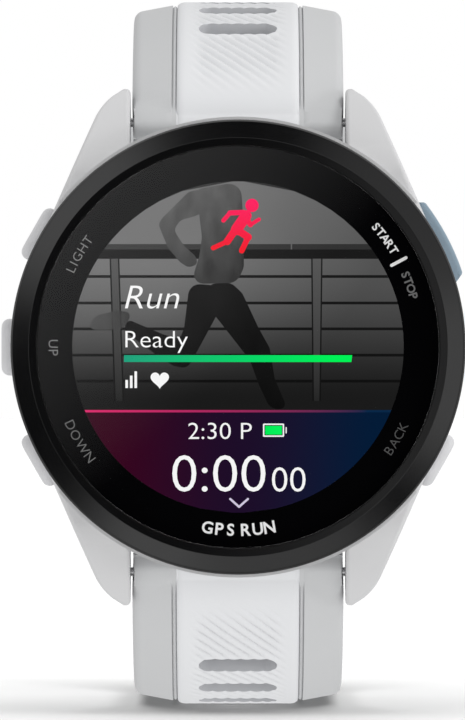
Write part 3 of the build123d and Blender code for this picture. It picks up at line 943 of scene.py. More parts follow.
@dataclass
class Case:
    """Case, back cover, sensor window and what shows on the wrist side."""

    screw_circle: float = 15.75
    screw_count: int = 4
    boss_step: float = 60.0
    head_low: float = 1.22
    head_sides: int = 24
    head_profile: tuple[Place, ...] = (
        (1.0, 0.02), (1.15, 0.12), (1.2, 0.3), (1.2, 0.56), (0.5, 0.56), (0.5, 4.88), (0.3, 4.98),
    )  # fmt: skip
    recess: tuple[float, float, float] = (0.62, 0.45, 0.32)
    rim_inner: float = 20.9
    rim_outer: float = 21.4
    rim_low: float = 9.3
    rim_high: float = 10.3
    rim_start: float = 39.0
    rim_sweep: float = 102.0

    def build(self) -> None:
        """Builds and dresses every piece."""
        copies = (
            ("mid_case", "case_shell", CASE),
            ("back_cover", "back_plate", COVER),
            ("sensor_window", "sensor_dome", WINDOW),
            ("charge_contacts", "charge_pads", GOLD),
        )
        for node, piece, finish in copies:
            carried(smooth_copy(node, piece, finish), "case", [node])
        carried(self.screws(), "case", ["back_screws"])
        carried(joined("case_rim", self.rims()), "case")

    def rims(self) -> list[bpy.types.Object]:
        """The case's thin edge round the bezel, above and below the dial."""
        made = []
        for side in (1, -1):
            turns = [math.radians(self.rim_start + self.rim_sweep * k / 96) for k in range(97)]
            outer, inner = (
                [(r * math.cos(t), side * r * math.sin(t)) for t in turns]
                for r in (self.rim_outer, self.rim_inner)
            )
            made.append(plate("rim", [outer + inner[::-1]], self.rim_low, self.rim_high, CASE))
        return made

    def screw(self) -> bpy.types.Object:
        """One screw standing on the Z axis: a domed head with a star recess, and its shank."""
        around = [math.tau * (i + 0.5) / self.head_sides for i in range(self.head_sides)]
        point, valley, deep = self.recess
        star = []
        for i, turn in enumerate(around):
            reach = point if i % 4 < 2 else valley
            star.append((reach * math.cos(turn), reach * math.sin(turn)))
        rings = [[(x, y, height) for x, y in star] for height in (deep, 0.0)]
        for radius, height in self.head_profile:
            rings.append([(radius * math.cos(a), radius * math.sin(a), height) for a in around])
        return capped("screw", rings, STEEL)

    def screws(self) -> bpy.types.Object:
        """The back's screws, set on their bosses by Geometry Nodes: two above, two below."""
        pattern = self.screw()
        pattern.data.transform(Matrix.Rotation(math.radians(90), 4, "X"))
        kinds = {"Screw": "Object", "Count": "Int", "Radius": "Float", "Height": "Float"}
        graph, value = node_tree("screw_circle", {**kinds, "Finish": "Material"})
        values = {"Object": value["Screw"]}
        screw = graph.term("GeometryNodeObjectInfo", values=values, output="Geometry")
        points = graph.term("GeometryNodePoints", values={"Count": value["Count"]})
        number = graph.term("GeometryNodeInputIndex")
        half = (self.screw_count - 1) / 2
        turn = (number + 1 + number.above(half)) * math.radians(self.boss_step)
        side = (turn + math.pi / 2).sine() * value["Radius"]
        high = turn.sine() * value["Radius"]
        spot = graph.term("ShaderNodeCombineXYZ", values={0: side, 1: value["Height"] * -1.0, 2: high})
        values = {"Geometry": points, "Position": spot}
        placed = graph.term("GeometryNodeSetPosition", values=values)
        copies = graph.term("GeometryNodeInstanceOnPoints", values={"Points": placed, "Instance": screw})
        real = graph.term("GeometryNodeRealizeInstances", values={0: copies})
        values = {"Geometry": real, "Material": value["Finish"]}
        coated = graph.term("GeometryNodeSetMaterial", values=values)
        graph.node("NodeGroupOutput", values={0: coated})
        settings = {
            "Screw": pattern,
            "Count": self.screw_count,
            "Radius": self.screw_circle * MM,
            "Height": self.head_low * MM,
            "Finish": FINISHES.get(STEEL),
        }
        made = grown("back_screw_set", bpy.data.meshes.new("seed"), graph.tree, settings)
        bpy.data.objects.remove(pattern)
        return made


def node_tree(name: str, inputs: dict[str, str]) -> tuple[Graph, dict[str, Term]]:
    """Starts a Geometry Nodes tree with named inputs and one geometry output.

    Args:
        name: the tree's name.
        inputs: the kind of each input by its name.

    Returns:
        The tree as a graph, and its inputs by name.
    """
    tree = bpy.data.node_groups.new(name, "GeometryNodeTree")
    for label, kind in inputs.items():
        tree.interface.new_socket(label, in_out="INPUT", socket_type="NodeSocket" + kind)
    tree.interface.new_socket("Geometry", in_out="OUTPUT", socket_type="NodeSocketGeometry")
    graph = Graph(tree)
    start = graph.node("NodeGroupInput")
    return graph, {socket.name: Term(graph, socket) for socket in start.outputs if socket.name}


def grown(
    name: str,
    seed: bpy.types.Mesh,
    tree: bpy.types.NodeTree,
    settings: dict[str, Any],
    crease: float = 30.0,
) -> bpy.types.Object:
    """Runs a Geometry Nodes tree on a mesh and keeps the plain result.

    Args:
        name: the object's name.
        seed: the mesh that goes in.
        tree: the tree.
        settings: the tree's named inputs.
        crease: the angle in degrees past which an edge stays sharp.

    Returns:
        The new object, with no modifier.
    """
    made = put(name, seed)
    modifier = made.modifiers.new("grow", "NODES")
    modifier.node_group = tree
    for item in tree.interface.items_tree:
        if item.in_out == "INPUT" and item.name in settings:
            modifier[item.identifier] = settings[item.name]
    settled(made)
    made.data.name = name
    shaded(made.data, crease)
    return made


# ---- bezel, lens and display ----------------------------------------------------------


@dataclass
class Front:
    """Bezel ring, cover glass, mask and the printed button names."""

    rim_r: float = 21.1
    face_r: float = 19.4
    seat_r: float = 18.75
    bore_r: float = 17.9
    top: float = 12.6
    shoulder: float = 12.28
    ledge: float = 10.6
    case_top: float = 9.8
    lens_r: float = 18.7
    lens_low: float = 10.75
    lens_top: float = 12.2
    mask_r: float = 18.64
    mask_low: float = 10.752
    mask_high: float = 10.758
    print_low: float = 10.77
    print_high: float = 10.775
    live_r: float = 15.4

    def build(self) -> None:
        """Builds and dresses every piece."""
        carried(self.bezel(), "case", ["bezel"])
        carried(self.lens(), "case", ["cover_lens"])
        ring = [round_outline(self.mask_r, 192), round_outline(self.live_r, 192)]
        mask = plate("display_mask", ring, self.mask_low, self.mask_high, MASK)
        carried(mask, "case")
        self.names()

    def bezel(self) -> bpy.types.Object:
        """The black ring, its face slightly conical, every corner broken."""
        corners = [
            (self.bore_r, self.case_top),
            (self.rim_r, self.case_top),
            (self.rim_r, 12.0),
            (20.9, self.shoulder),
            (self.face_r, self.top),
            (self.seat_r, self.lens_top - 0.05),
            (self.seat_r, self.ledge),
            (self.bore_r, self.ledge),
        ]
        outline = filleted(corners, [0, 0.06, 0.2, 0.12, 0.06, 0.03, 0, 0], 4)
        return lathe("bezel_ring", outline, BEZEL, 288)

    def lens(self) -> bpy.types.Object:
        """The flat cover glass with polished edges."""
        corners = [
            (0, self.lens_low),
            (self.lens_r, self.lens_low),
            (self.lens_r, self.lens_top),
            (0, self.lens_top),
        ]
        return lathe("cover_glass", filleted(corners, [0, 0.05, 0.12, 0], 3), LENS, 192)

    def names(self) -> None:
        """Prints the names of the buttons on the back of the glass."""
        upper = self.ink("print_mid", 136)
        dim = self.ink("print_dim", 112)
        faint = self.ink("print_faint", 84)
        white = self.ink("print_white", 232, 0.05)
        rows = (
            ("print_light", "LIGHT", 149.6, 17.1, 0.82, 3.9, True, upper, False),
            ("print_up", "UP", 180.3, 17.15, 0.86, 1.65, False, upper, False),
            ("print_down", "DOWN", 210.8, 17.15, 0.86, 4.4, False, dim, False),
            ("print_back", "BACK", 329.9, 17.0, 0.84, 3.4, False, faint, False),
            ("print_start", "START", 36.5, 17.0, 0.8, 3.4, True, white, True),
            ("print_stop", "STOP", 19.8, 16.95, 0.8, 2.75, True, dim, True),
            ("print_gps", "GPS RUN", 270.0, 16.97, 1.14, 6.9, False, white, True),
        )
        for name, words, angle, radius, height, length, outward, finish, bold in rows:
            letters = [
                self.letter(glyph, angle, radius, height, shift, outward, finish, bold)
                for glyph, shift in spaced(words, length)
                if glyph != " "
            ]
            carried(joined(name, letters), "case")
        tick = self.tick(28.0, 16.0, 17.8, 0.15, white)
        carried(joined("print_tick", [tick]), "case")

    @staticmethod
    def ink(name: str, level: float, mottle: float = 0.1) -> Moulded:
        """A flat grey ink without any shine."""
        return Moulded(name, grey(level), 0.6, 0.2, 0.0, mottle, 0.0)

    def letter(
        self,
        glyph: str,
        angle: float,
        radius: float,
        height: float,
        shift: float,
        outward: bool,
        finish: Any,
        bold: bool,
    ) -> bpy.types.Object:
        """One letter on the mask's circle.

        Args:
            glyph: the letter.
            angle: the word's middle in degrees.
            radius: the circle's radius.
            height: the letter's height.
            shift: its way from the word's middle, along the circle.
            outward: True if the letters' tops point away from the dial.
            finish: the ink.
            bold: True for thick strokes.

        Returns:
            The letter.
        """
        turn = -1 if outward else 1
        spot = math.radians(angle) + turn * shift / radius
        lean = spot - math.pi / 2 if outward else spot + math.pi / 2
        place = Matrix.Translation((radius * math.cos(spot), radius * math.sin(spot), 0))
        place = place @ Matrix.Rotation(lean, 4, "Z")
        levels = (self.print_low, self.print_high)
        return lettering(glyph, height, None, place, levels, finish, bold)

    def tick(
        self, angle: float, inner: float, outer: float, half: float, finish: Any
    ) -> bpy.types.Object:
        """A round-ended stroke along a radius of the mask."""
        turn = math.radians(angle)
        ends = [(r * math.cos(turn), r * math.sin(turn)) for r in (inner + half, outer - half)]
        return plate("tick", [stroke(ends, half)], self.print_low, self.print_high, finish)


def spaced(words: str, length: float) -> list[tuple[str, float]]:
    """Spreads letters over a length, measured from the word's middle."""
    widths = {"I": 0.4, "W": 1.45, "U": 1.05, "O": 1.15, "L": 0.8, "G": 1.1, " ": 0.35}
    room = [widths.get(glyph, 0.95) for glyph in words]
    scale = length / sum(room)
    made = []
    run = -length / 2
    for glyph, width in zip(words, room):
        made.append((glyph, run + width * scale / 2))
        run += width * scale
    return made


def stroke(line: Sequence[Place], half: float) -> list[Place]:
    """Outline of a round-ended stroke between two places."""
    (ax, ay), (bx, by) = line
    lean = math.atan2(by - ay, bx - ax)
    made = []
    for (x, y), start in (((bx, by), -math.pi / 2), ((ax, ay), math.pi / 2)):
        for k in range(9):
            turn = lean + start + math.pi * k / 8
            made.append((x + half * math.cos(turn), y + half * math.sin(turn)))
    return made


def lettering(
    words: str,
    height: float,
    width: float | None,
    place: Matrix,
    levels: tuple[float, float],
    finish: Any,
    bold: bool = False,
    slant: float = 0.0,
) -> bpy.types.Object:
    """Flat letters in the plane of the dial.

    Args:
        words: what it says.
        height: the letters' height in millimetres.
        width: the whole width, or None for the font's own, centred.
        place: where they go, in the plane of (x, z).
        levels: heights of their back and front.
        finish: their finish.
        bold: True for thick strokes.
        slant: how far the tops lean over, as a share of the height.

    Returns:
        The letters as a mesh.
    """
    curve = bpy.data.curves.new("letters", "FONT")
    curve.body = words
    curve.align_x = "CENTER" if width is None else "LEFT"
    curve.shear = slant
    curve.resolution_u = 4
    curve.offset = 0.022 if bold else -0.008
    curve.extrude = 0.5
    text = put("letters", curve)
    bpy.context.view_layer.update()
    graph = bpy.context.evaluated_depsgraph_get()
    mesh = bpy.data.meshes.new_from_object(text.evaluated_get(graph), depsgraph=graph)
    bpy.data.objects.remove(text)
    across = [v.co.x for v in mesh.vertices]
    above = [v.co.y for v in mesh.vertices]
    tall = height / 0.729 if width is not None else height / (max(above) - min(above))
    wide = tall if width is None else width / (max(across) - min(across))
    base = -height / 2 - min(above) * tall if width is None else 0.0
    left = -(max(across) + min(across)) / 2 * wide if width is None else -min(across) * wide
    low, high = levels
    for vertex in mesh.vertices:
        flat = place @ Vector((vertex.co.x * wide + left, vertex.co.y * tall + base, 0))
        level = low if vertex.co.z < 0 else high
        vertex.co = Vector((flat.x, -level, flat.y)) * MM
    tidy_shell(mesh)
    mesh.materials.clear()
    return link("letters", mesh, finish, 20.0)


class Layer(Enum):
    """Heights of the display's picture layers above its panel, in order."""

    GROUND = 0
    RAIL = 1
    FIGURE = 2
    FIELD = 3
    SIGN = 4

    def levels(self, base: float = 10.702, step: float = 0.002) -> tuple[float, float]:
        """Heights of the layer's back and front."""
        low = base + self.value * step
        return low, low + step * 0.6


@dataclass
class Display:
    """The lit picture: a railing at dusk, a passing figure, and the activity's data."""

    live_r: float = 15.4
    horizon: float = -5.95
    line_half: float = 0.11
    cable_heights: tuple[float, ...] = (6.55, 4.09, 1.69, -0.75, -3.16)
    cable_half: float = 0.13
    rail_heights: tuple[float, float, float] = (8.19, 9.06, 9.56)
    rail_gap: Place = (4.9, 5.02)
    posts: tuple[tuple[float, ...], ...] = ((6.86, 7.78, 6.98, 7.62), (-11.85, -11.08, -11.42, -10.64))
    post_heights: Place = (-5.0, 8.2)
    post_edge_half: float = 0.07
    white: Colour = grey(250)

    def build(self) -> None:
        """Builds and dresses every piece."""
        self.ground()
        self.railing()
        self.figure()
        self.pictogram()
        self.words()
        self.marks()

    def show(self, name: str, pieces: Sequence[bpy.types.Object]) -> None:
        """Joins the parts of one sign and fixes them on the display."""
        made = joined(name, pieces) if len(pieces) > 1 else pieces[0]
        made.name = name
        made.data.name = name
        carried(made, "case")

    def draw(self, name: str, layer: Layer, finish: Any, *shapes: Sequence[Place]) -> None:
        """Fixes flat shapes of one finish on the display."""
        self.show(name, [plate("shape", [shape], *layer.levels(), finish) for shape in shapes])

    def clipped(self, loop: Sequence[Place]) -> list[Place]:
        """Pulls an outline's places back to the display's edge."""
        edge = self.live_r - 0.02
        made = []
        for x, z in loop:
            far = math.hypot(x, z)
            scale = min(1.0, edge / far) if far > 0 else 1.0
            made.append((x * scale, z * scale))
        return made

    def chord(self, z: float) -> float:
        """Half width of the display at a height."""
        return math.sqrt((self.live_r - 0.02) ** 2 - z * z)

    def band(
        self, low: float, high: float, left: float | None = None, right: float | None = None
    ) -> list[Place]:
        """A level band across the display, with round ends where it meets the edge."""
        steps = 24 if high - low > 2 else 4
        heights = [low + (high - low) * k / steps for k in range(steps + 1)]
        ahead = [(self.chord(z) if right is None else right, z) for z in heights]
        back = [(-self.chord(z) if left is None else left, z) for z in reversed(heights)]
        return ahead + back

    def ground(self) -> None:
        """Sky above the horizon, data field below it, and the bright line between them."""
        top = self.live_r - 0.03
        low, high = self.horizon - self.line_half, self.horizon + self.line_half
        glow = Glow("display_line", srgb(222, 44, 110), srgb(10, 40, 72), (-14.0, 0.0), (12.0, 0.0))
        self.draw("display_sky", Layer.GROUND, Backdrop(), self.band(self.horizon, top))
        self.draw("display_field", Layer.FIELD, Dusk(), self.band(-top, self.horizon))
        self.draw("display_horizon", Layer.SIGN, glow, self.band(low, high))

    def railing(self) -> None:
        """Handrail, cables and posts."""
        dark = Glow("display_cable", grey(27), grey(16), (0.0, 7.0), (0.0, -4.0))
        half = self.cable_half
        cables = [self.band(z - half, z + half) for z in self.cable_heights]
        low, seam, high = self.rail_heights
        self.draw("display_cables", Layer.RAIL, dark, *cables, self.band(low, seam))
        rail = Glow("display_rail", grey(62), grey(50), (-9.0, 0.0), (9.0, 0.0))
        left, right = self.rail_gap
        caps = [self.band(seam, high, None, left), self.band(seam, high, right, None)]
        self.draw("display_rail", Layer.RAIL, rail, *caps)
        post = Glow("display_post", grey(88), grey(38), (0.0, 8.0), (0.0, -5.0))
        edge = Glow("display_post_edge", grey(34), grey(18), (0.0, 8.0), (0.0, -5.0))
        foot, head = self.post_heights
        thin = self.post_edge_half
        bodies = []
        edges = []
        for a, b, c, d in self.posts:
            bodies.append([(c, foot), (d, foot), (b, head), (a, head)])
            for low, high in ((c, a), (d, b)):
                side = [(low - thin, foot), (low + thin, foot), (high + thin, head), (high - thin, head)]
                edges.append(side)
        self.draw("display_posts", Layer.FIGURE, post, *bodies)
        self.draw("display_post_edges", Layer.FIELD, edge, *edges)

    def figure(self) -> None:
        """A passing runner as plain rounded shapes, out of the picture above the chest."""
        shirt = Glow("display_shirt", grey(88), grey(54), (-4.0, 14.0), (0.0, 6.5), 1.5)
        tights = Glow("display_tights", grey(26), grey(14), (0.0, 6.0), (0.0, -6.0), 0.8)
        shoe = Glow("display_shoe", grey(84), grey(52), (-14.0, 0.0), (-9.0, 0.0), 0.8)
        torso = [
            (-4.3, 14.6), (0.3, 15.37), (0.5, 11.0), (0.55, 7.4), (0.1, 6.4), (-0.5, 5.95),
            (-4.4, 5.85), (-3.6, 8.4), (-3.35, 10.2), (-3.6, 12.3),
        ]  # fmt: skip
        arm = [
            (-4.6, 14.4), (-7.0, 12.0), (-7.4, 11.4), (-6.5, 9.2), (-5.4, 7.9), (-4.6, 7.35),
            (-3.75, 7.7), (-3.9, 8.4), (-5.0, 9.4), (-6.0, 10.9), (-5.3, 11.8), (-3.4, 12.3), (-3.2, 14.7),
        ]  # fmt: skip
        cloth = [rounded_shape(torso, 0.4), rounded_shape(arm, 0.3)]
        self.draw("display_shirt", Layer.FIELD, shirt, *[self.clipped(loop) for loop in cloth])
        back = [
            (-4.5, 5.9), (-1.6, 5.7), (-2.0, 2.9), (-3.9, -0.6), (-4.7, -2.0), (-6.0, -1.75),
            (-7.6, -0.7), (-10.6, 1.5), (-10.3, 2.6), (-7.0, 1.2), (-5.4, 0.7), (-5.0, 1.8),
        ]  # fmt: skip
        front = [
            (-3.2, 5.9), (-0.6, 5.95), (0.4, 5.0), (1.9, 1.8), (2.95, -0.1), (3.4, -2.9),
            (4.6, -5.75), (3.0, -5.75), (1.9, -3.4), (1.1, -1.2), (-2.2, 3.0),
        ]  # fmt: skip
        legs = [rounded_shape(loop, 0.35) for loop in (back, front)]
        self.draw("display_tights", Layer.FIELD, tights, *legs)
        sole = [
            (-13.8, 1.9), (-13.3, 2.9), (-11.2, 3.4), (-9.8, 3.2), (-10.6, 1.7), (-12.0, 1.6), (-13.4, 1.6),
        ]  # fmt: skip
        self.draw("display_shoe", Layer.FIELD, shoe, rounded_shape(sole, 0.3))

    def pictogram(self) -> None:
        """The activity's sign: a plain running figure of round-ended strokes."""
        fade = Glow("display_sign", srgb(255, 24, 96), srgb(244, 24, 40), (0.0, 13.5), (0.0, 9.0))
        limbs = (
            ((0.75, 12.2), (-0.15, 10.9), 0.52),
            ((0.55, 12.5), (-0.75, 12.45), 0.24),
            ((-0.75, 12.45), (-1.35, 11.75), 0.2),
            ((0.75, 12.05), (1.15, 11.35), 0.24),
            ((1.15, 11.35), (1.95, 11.85), 0.18),
            ((-0.1, 10.9), (0.95, 10.2), 0.34),
            ((0.95, 10.2), (0.35, 8.95), 0.26),
            ((-0.35, 10.75), (-1.0, 9.8), 0.34),
            ((-1.0, 9.8), (-2.3, 9.2), 0.22),
        )
        strokes = [stroke((a, b), half) for a, b, half in limbs]
        head = round_outline(0.62, 32, 1.3, 13.15)
        self.draw("display_pictogram", Layer.SIGN, fade, *strokes, head)

    def words(self) -> None:
        """The activity's name, its state, the time of day and the stopwatch."""
        white = Glow("display_white", self.white, self.white)
        levels = Layer.SIGN.levels()
        rows = (
            ("display_word_run", "Run", 2.3, 5.05, (-10.5, 3.57), 0.24),
            ("display_word_ready", "Ready", 1.66, 5.8, (-10.45, -0.04), 0.0),
            ("display_time", "2:30 P", 1.62, 5.9, (-4.62, -8.54), 0.0),
            ("display_stopwatch", "0:00", 3.62, 8.65, (-6.1, -13.42), 0.0),
            ("display_hundredths", "00", 2.42, 3.12, (3.15, -13.42), 0.0),
        )
        for name, words, height, width, (x, z), slant in rows:
            place = Matrix.Translation((x, z, 0))
            letters = lettering(words, height, width, place, levels, white, slant=slant)
            self.show(name, [letters])

    def marks(self) -> None:
        """Progress bar, signal bars, heart, battery and the arrow to the next page."""
        sign = Layer.SIGN
        white = Glow("display_white", self.white, self.white)
        green = Glow("display_green", srgb(22, 160, 124), srgb(0, 246, 88), (-10.5, 0.0), (9.0, 0.0))
        bar = [(-10.58, -1.39), (10.52, -1.39), (10.6, -0.75), (-10.58, -0.75)]
        self.draw("display_bar", sign, green, bar)
        steps = [box(-10.45 + i * 0.42, -3.8, -10.21 + i * 0.42, -3.05 + i * 0.4) for i in range(3)]
        self.draw("display_signal", sign, white, *steps)
        self.draw("display_heart", sign, white, self.heart(-7.26, -3.0, 0.0535))
        shell = filleted(box(2.32, -8.33, 4.28, -7.1), [0.1] * 4)
        well = filleted(box(2.45, -8.2, 4.15, -7.23), [0.05] * 4)
        nub = box(4.42, -8.0, 4.52, -7.43)
        battery = [plate("battery", loops, *sign.levels(), white) for loops in ([shell, well], [nub])]
        self.show("display_battery", battery)
        charge = Glow("display_charge", srgb(0, 236, 84), srgb(10, 246, 96), (2.0, 0.0), (4.5, 0.0))
        self.draw("display_charge", sign, charge, box(2.53, -8.12, 4.07, -7.31))
        arms = [((-0.72, -14.1), (0.1, -14.83)), ((0.1, -14.83), (0.92, -14.1))]
        soft = Glow("display_arrow", srgb(210, 200, 224), srgb(210, 200, 224))
        self.draw("display_arrow", sign, soft, *[stroke(arm, 0.1) for arm in arms])

    @staticmethod
    def heart(x: float, z: float, size: float) -> list[Place]:
        """Outline of a heart round a place."""
        made = []
        for k in reversed(range(48)):
            t = math.tau * k / 48
            high = 13 * math.cos(t) - 5 * math.cos(2 * t) - 2 * math.cos(3 * t) - math.cos(4 * t)
            made.append((x + 16 * math.sin(t) ** 3 * size, z + high * size))
        return made


def box(left: float, low: float, right: float, high: float) -> list[Place]:
    """Corners of an upright rectangle."""
    return [(left, low), (right, low), (right, high), (left, high)]


def smooth_step(value: float, low: float, high: float) -> float:
    """Smooth step from 0 at low to 1 at high; low may be the larger one."""
    share = min(max((value - low) / (high - low), 0.0), 1.0)
    return share * share * (3 - 2 * share)


def quarter_round(gap: float, radius: float) -> float:
    """Share of the height at a gap from a rounded edge: 0 on the edge, 1 past its radius."""
    share = 1 - min(max(gap / radius, 0.0), 1.0)
    return math.sqrt(1 - share * share)


def rounded_shape(loop: Sequence[Place], radius: float) -> list[Place]:
    """An outline with each corner rounded as far as its sides allow."""
    radii = []
    for i, place in enumerate(loop):
        sides = [Vector(loop[i - 1]) - Vector(place), Vector(loop[(i + 1) % len(loop)]) - Vector(place)]
        half = sides[0].angle(sides[1]) / 2
        room = min(side.length for side in sides) * 0.45
        radii.append(min(radius * 3, room * math.tan(half)))
    return filleted(loop, radii, 5)


# ---- strap ----------------------------------------------------------------------------


@dataclass
class StrapPath:
    """Middle line of a strap half, from its bar: root arc, then a flat, a bend and a tip."""

    outer_r: float
    end_z: float
    side: int
    root_stop: float
    flat: float = 0.0
    bend_r: float = 0.0
    tip: float = 0.0
    half_thick: float = 1.65
    bar_z: float = 21.0
    bar_height: float = 4.6
    step: float = 0.2

    def __post_init__(self) -> None:
        """Works out the root arc."""
        self.mid_r = self.outer_r - self.half_thick
        self.centre_z = self.end_z - self.outer_r
        rise = self.bar_z - self.centre_z
        self.centre_y = -self.bar_height + math.sqrt(self.mid_r**2 - rise**2)
        self.start = math.degrees(math.asin(rise / self.mid_r))

    def arc(self, centre: Place, radius: float, start: float, stop: float) -> list[Place]:
        """Places (y, z) on an arc, its angle measured from -Y towards +Z."""
        count = max(2, round(radius * math.radians(stop - start) / self.step))
        turns = [math.radians(start + (stop - start) * k / count) for k in range(count + 1)]
        return [(centre[0] - radius * math.cos(t), centre[1] + radius * math.sin(t)) for t in turns]

    def line(self) -> list[Place]:
        """Places (y, z) all along the middle line."""
        made = self.arc((self.centre_y, self.centre_z), self.mid_r, self.start, self.root_stop)
        if self.flat:
            y, z = made[-1]
            count = round(self.flat / self.step)
            made += [(y + self.flat * k / count, z) for k in range(1, count + 1)]
            y, z = made[-1]
            made += self.arc((y, z - self.bend_r), self.bend_r, 90, 180)[1:]
            y, z = made[-1]
            made += [(y, z - self.tip * k / 20) for k in range(1, 21)]
        return [(y, self.side * z) for y, z in made]

    def length(self) -> float:
        """Length of the middle line."""
        places = self.line()
        return sum(math.dist(a, b) for a, b in zip(places, places[1:]))

    def curve(self, name: str) -> bpy.types.Object:
        """The middle line as a curve object for the nodes to follow."""
        data = bpy.data.curves.new(name, "CURVE")
        data.dimensions = "3D"
        places = self.line()
        spline = data.splines.new("POLY")
        spline.points.add(len(places) - 1)
        for point, (y, z) in zip(spline.points, places):
            point.co = (0.0, y * MM, z * MM, 1.0)
        return put(name, data)


class Wrap:
    """Geometry Nodes tree that presses ribs into a flat solid and bends it along a path.

    The flat solid lies with X across, Y along and Z outwards. Its vertices' number "rib"
    says how deep the ribs are there, and its faces' mark "wall" takes the second finish.
    """

    RIB_POWER = 0.7
    WITHIN = 0.9999

    def __init__(self) -> None:
        """Makes the tree."""
        kinds = {"Geometry": "Geometry", "Path": "Object", "Side": "Float", "Length": "Float"}
        kinds |= {"Rib Across": "Float", "Rib Along": "Float", "Rib Depth": "Float"}
        kinds |= {"Finish": "Material", "Wall Finish": "Material"}
        graph, value = node_tree("strap_wrap", kinds)
        self.tree = graph.tree
        final = self.bent_place(graph, value)
        values = {"Geometry": value["Geometry"], "Position": final}
        bent = graph.term("GeometryNodeSetPosition", values=values)
        real = graph.term("GeometryNodeRealizeInstances", values={0: bent})
        values = {"Geometry": real, "Material": value["Finish"]}
        coated = graph.term("GeometryNodeSetMaterial", values=values)
        mark = self.named(graph, "wall", "BOOLEAN")
        values = {"Geometry": coated, "Selection": mark, "Material": value["Wall Finish"]}
        walled = graph.term("GeometryNodeSetMaterial", values=values)
        graph.node("NodeGroupOutput", values={0: walled})

    @staticmethod
    def named(graph: Graph, name: str, kind: str) -> Term:
        """What the mesh stores under a name."""
        settings = {"data_type": kind}
        return graph.term("GeometryNodeInputNamedAttribute", settings, {"Name": name}, "Attribute")

    def bent_place(self, graph: Graph, value: dict[str, Term]) -> Term:
        """Where a vertex of the flat solid goes: pressed by the ribs and bent along the path."""
        x, s, n = graph.parts(graph.term("GeometryNodeInputPosition"))
        phase = x / value["Rib Across"] + value["Side"] * (s / value["Rib Along"])
        crest = (phase * math.pi).sine().absolute().power(self.RIB_POWER)
        lowered = n - (1 - crest) * value["Rib Depth"] * self.named(graph, "rib", "FLOAT")
        path = graph.term("GeometryNodeObjectInfo", values={"Object": value["Path"]}, output="Geometry")
        on_line = s.most(0.0).least(value["Length"])
        settings = {"mode": "LENGTH", "use_all_curves": True}
        values = {"Curves": path, "Length": on_line}
        sample = graph.node("GeometryNodeSampleCurve", settings, values)
        tangent = Term(graph, sample.outputs["Tangent"])
        _, run, rise = graph.parts(tangent)
        values = {0: 0.0, 1: rise * value["Side"] * -1.0, 2: run * value["Side"]}
        outward = graph.term("ShaderNodeCombineXYZ", values=values)
        across = graph.term("ShaderNodeCombineXYZ", values={0: x, 1: 0.0, 2: 0.0})
        spot = Term(graph, sample.outputs["Position"])
        return spot + tangent * (s - on_line) + outward * lowered + across

    def wrapped(
        self,
        name: str,
        mesh: bpy.types.Mesh,
        path: StrapPath,
        finish: Moulded,
        ribs: Sequence[float],
        crease: float,
    ) -> bpy.types.Object:
        """Bends a flat solid along a strap half's middle line.

        Args:
            name: the object's name.
            mesh: the flat solid.
            path: the middle line.
            finish: the finish outside the slots.
            ribs: their pitch across, their pitch along and their depth.
            crease: the angle in degrees past which an edge stays sharp.

        Returns:
            The bent object.
        """
        curve = path.curve(name + "_path")
        settings = {
            "Path": curve,
            "Side": float(path.side),
            "Rib Across": ribs[0] * MM,
            "Rib Along": ribs[1] * MM,
            "Rib Depth": ribs[2] * MM,
            "Length": path.length() * MM * self.WITHIN,
            "Finish": FINISHES.get(finish),
            "Wall Finish": FINISHES.get(SLOT),
        }
        made = grown(name, mesh, self.tree, settings, crease)
        bpy.data.objects.remove(curve)
        return made


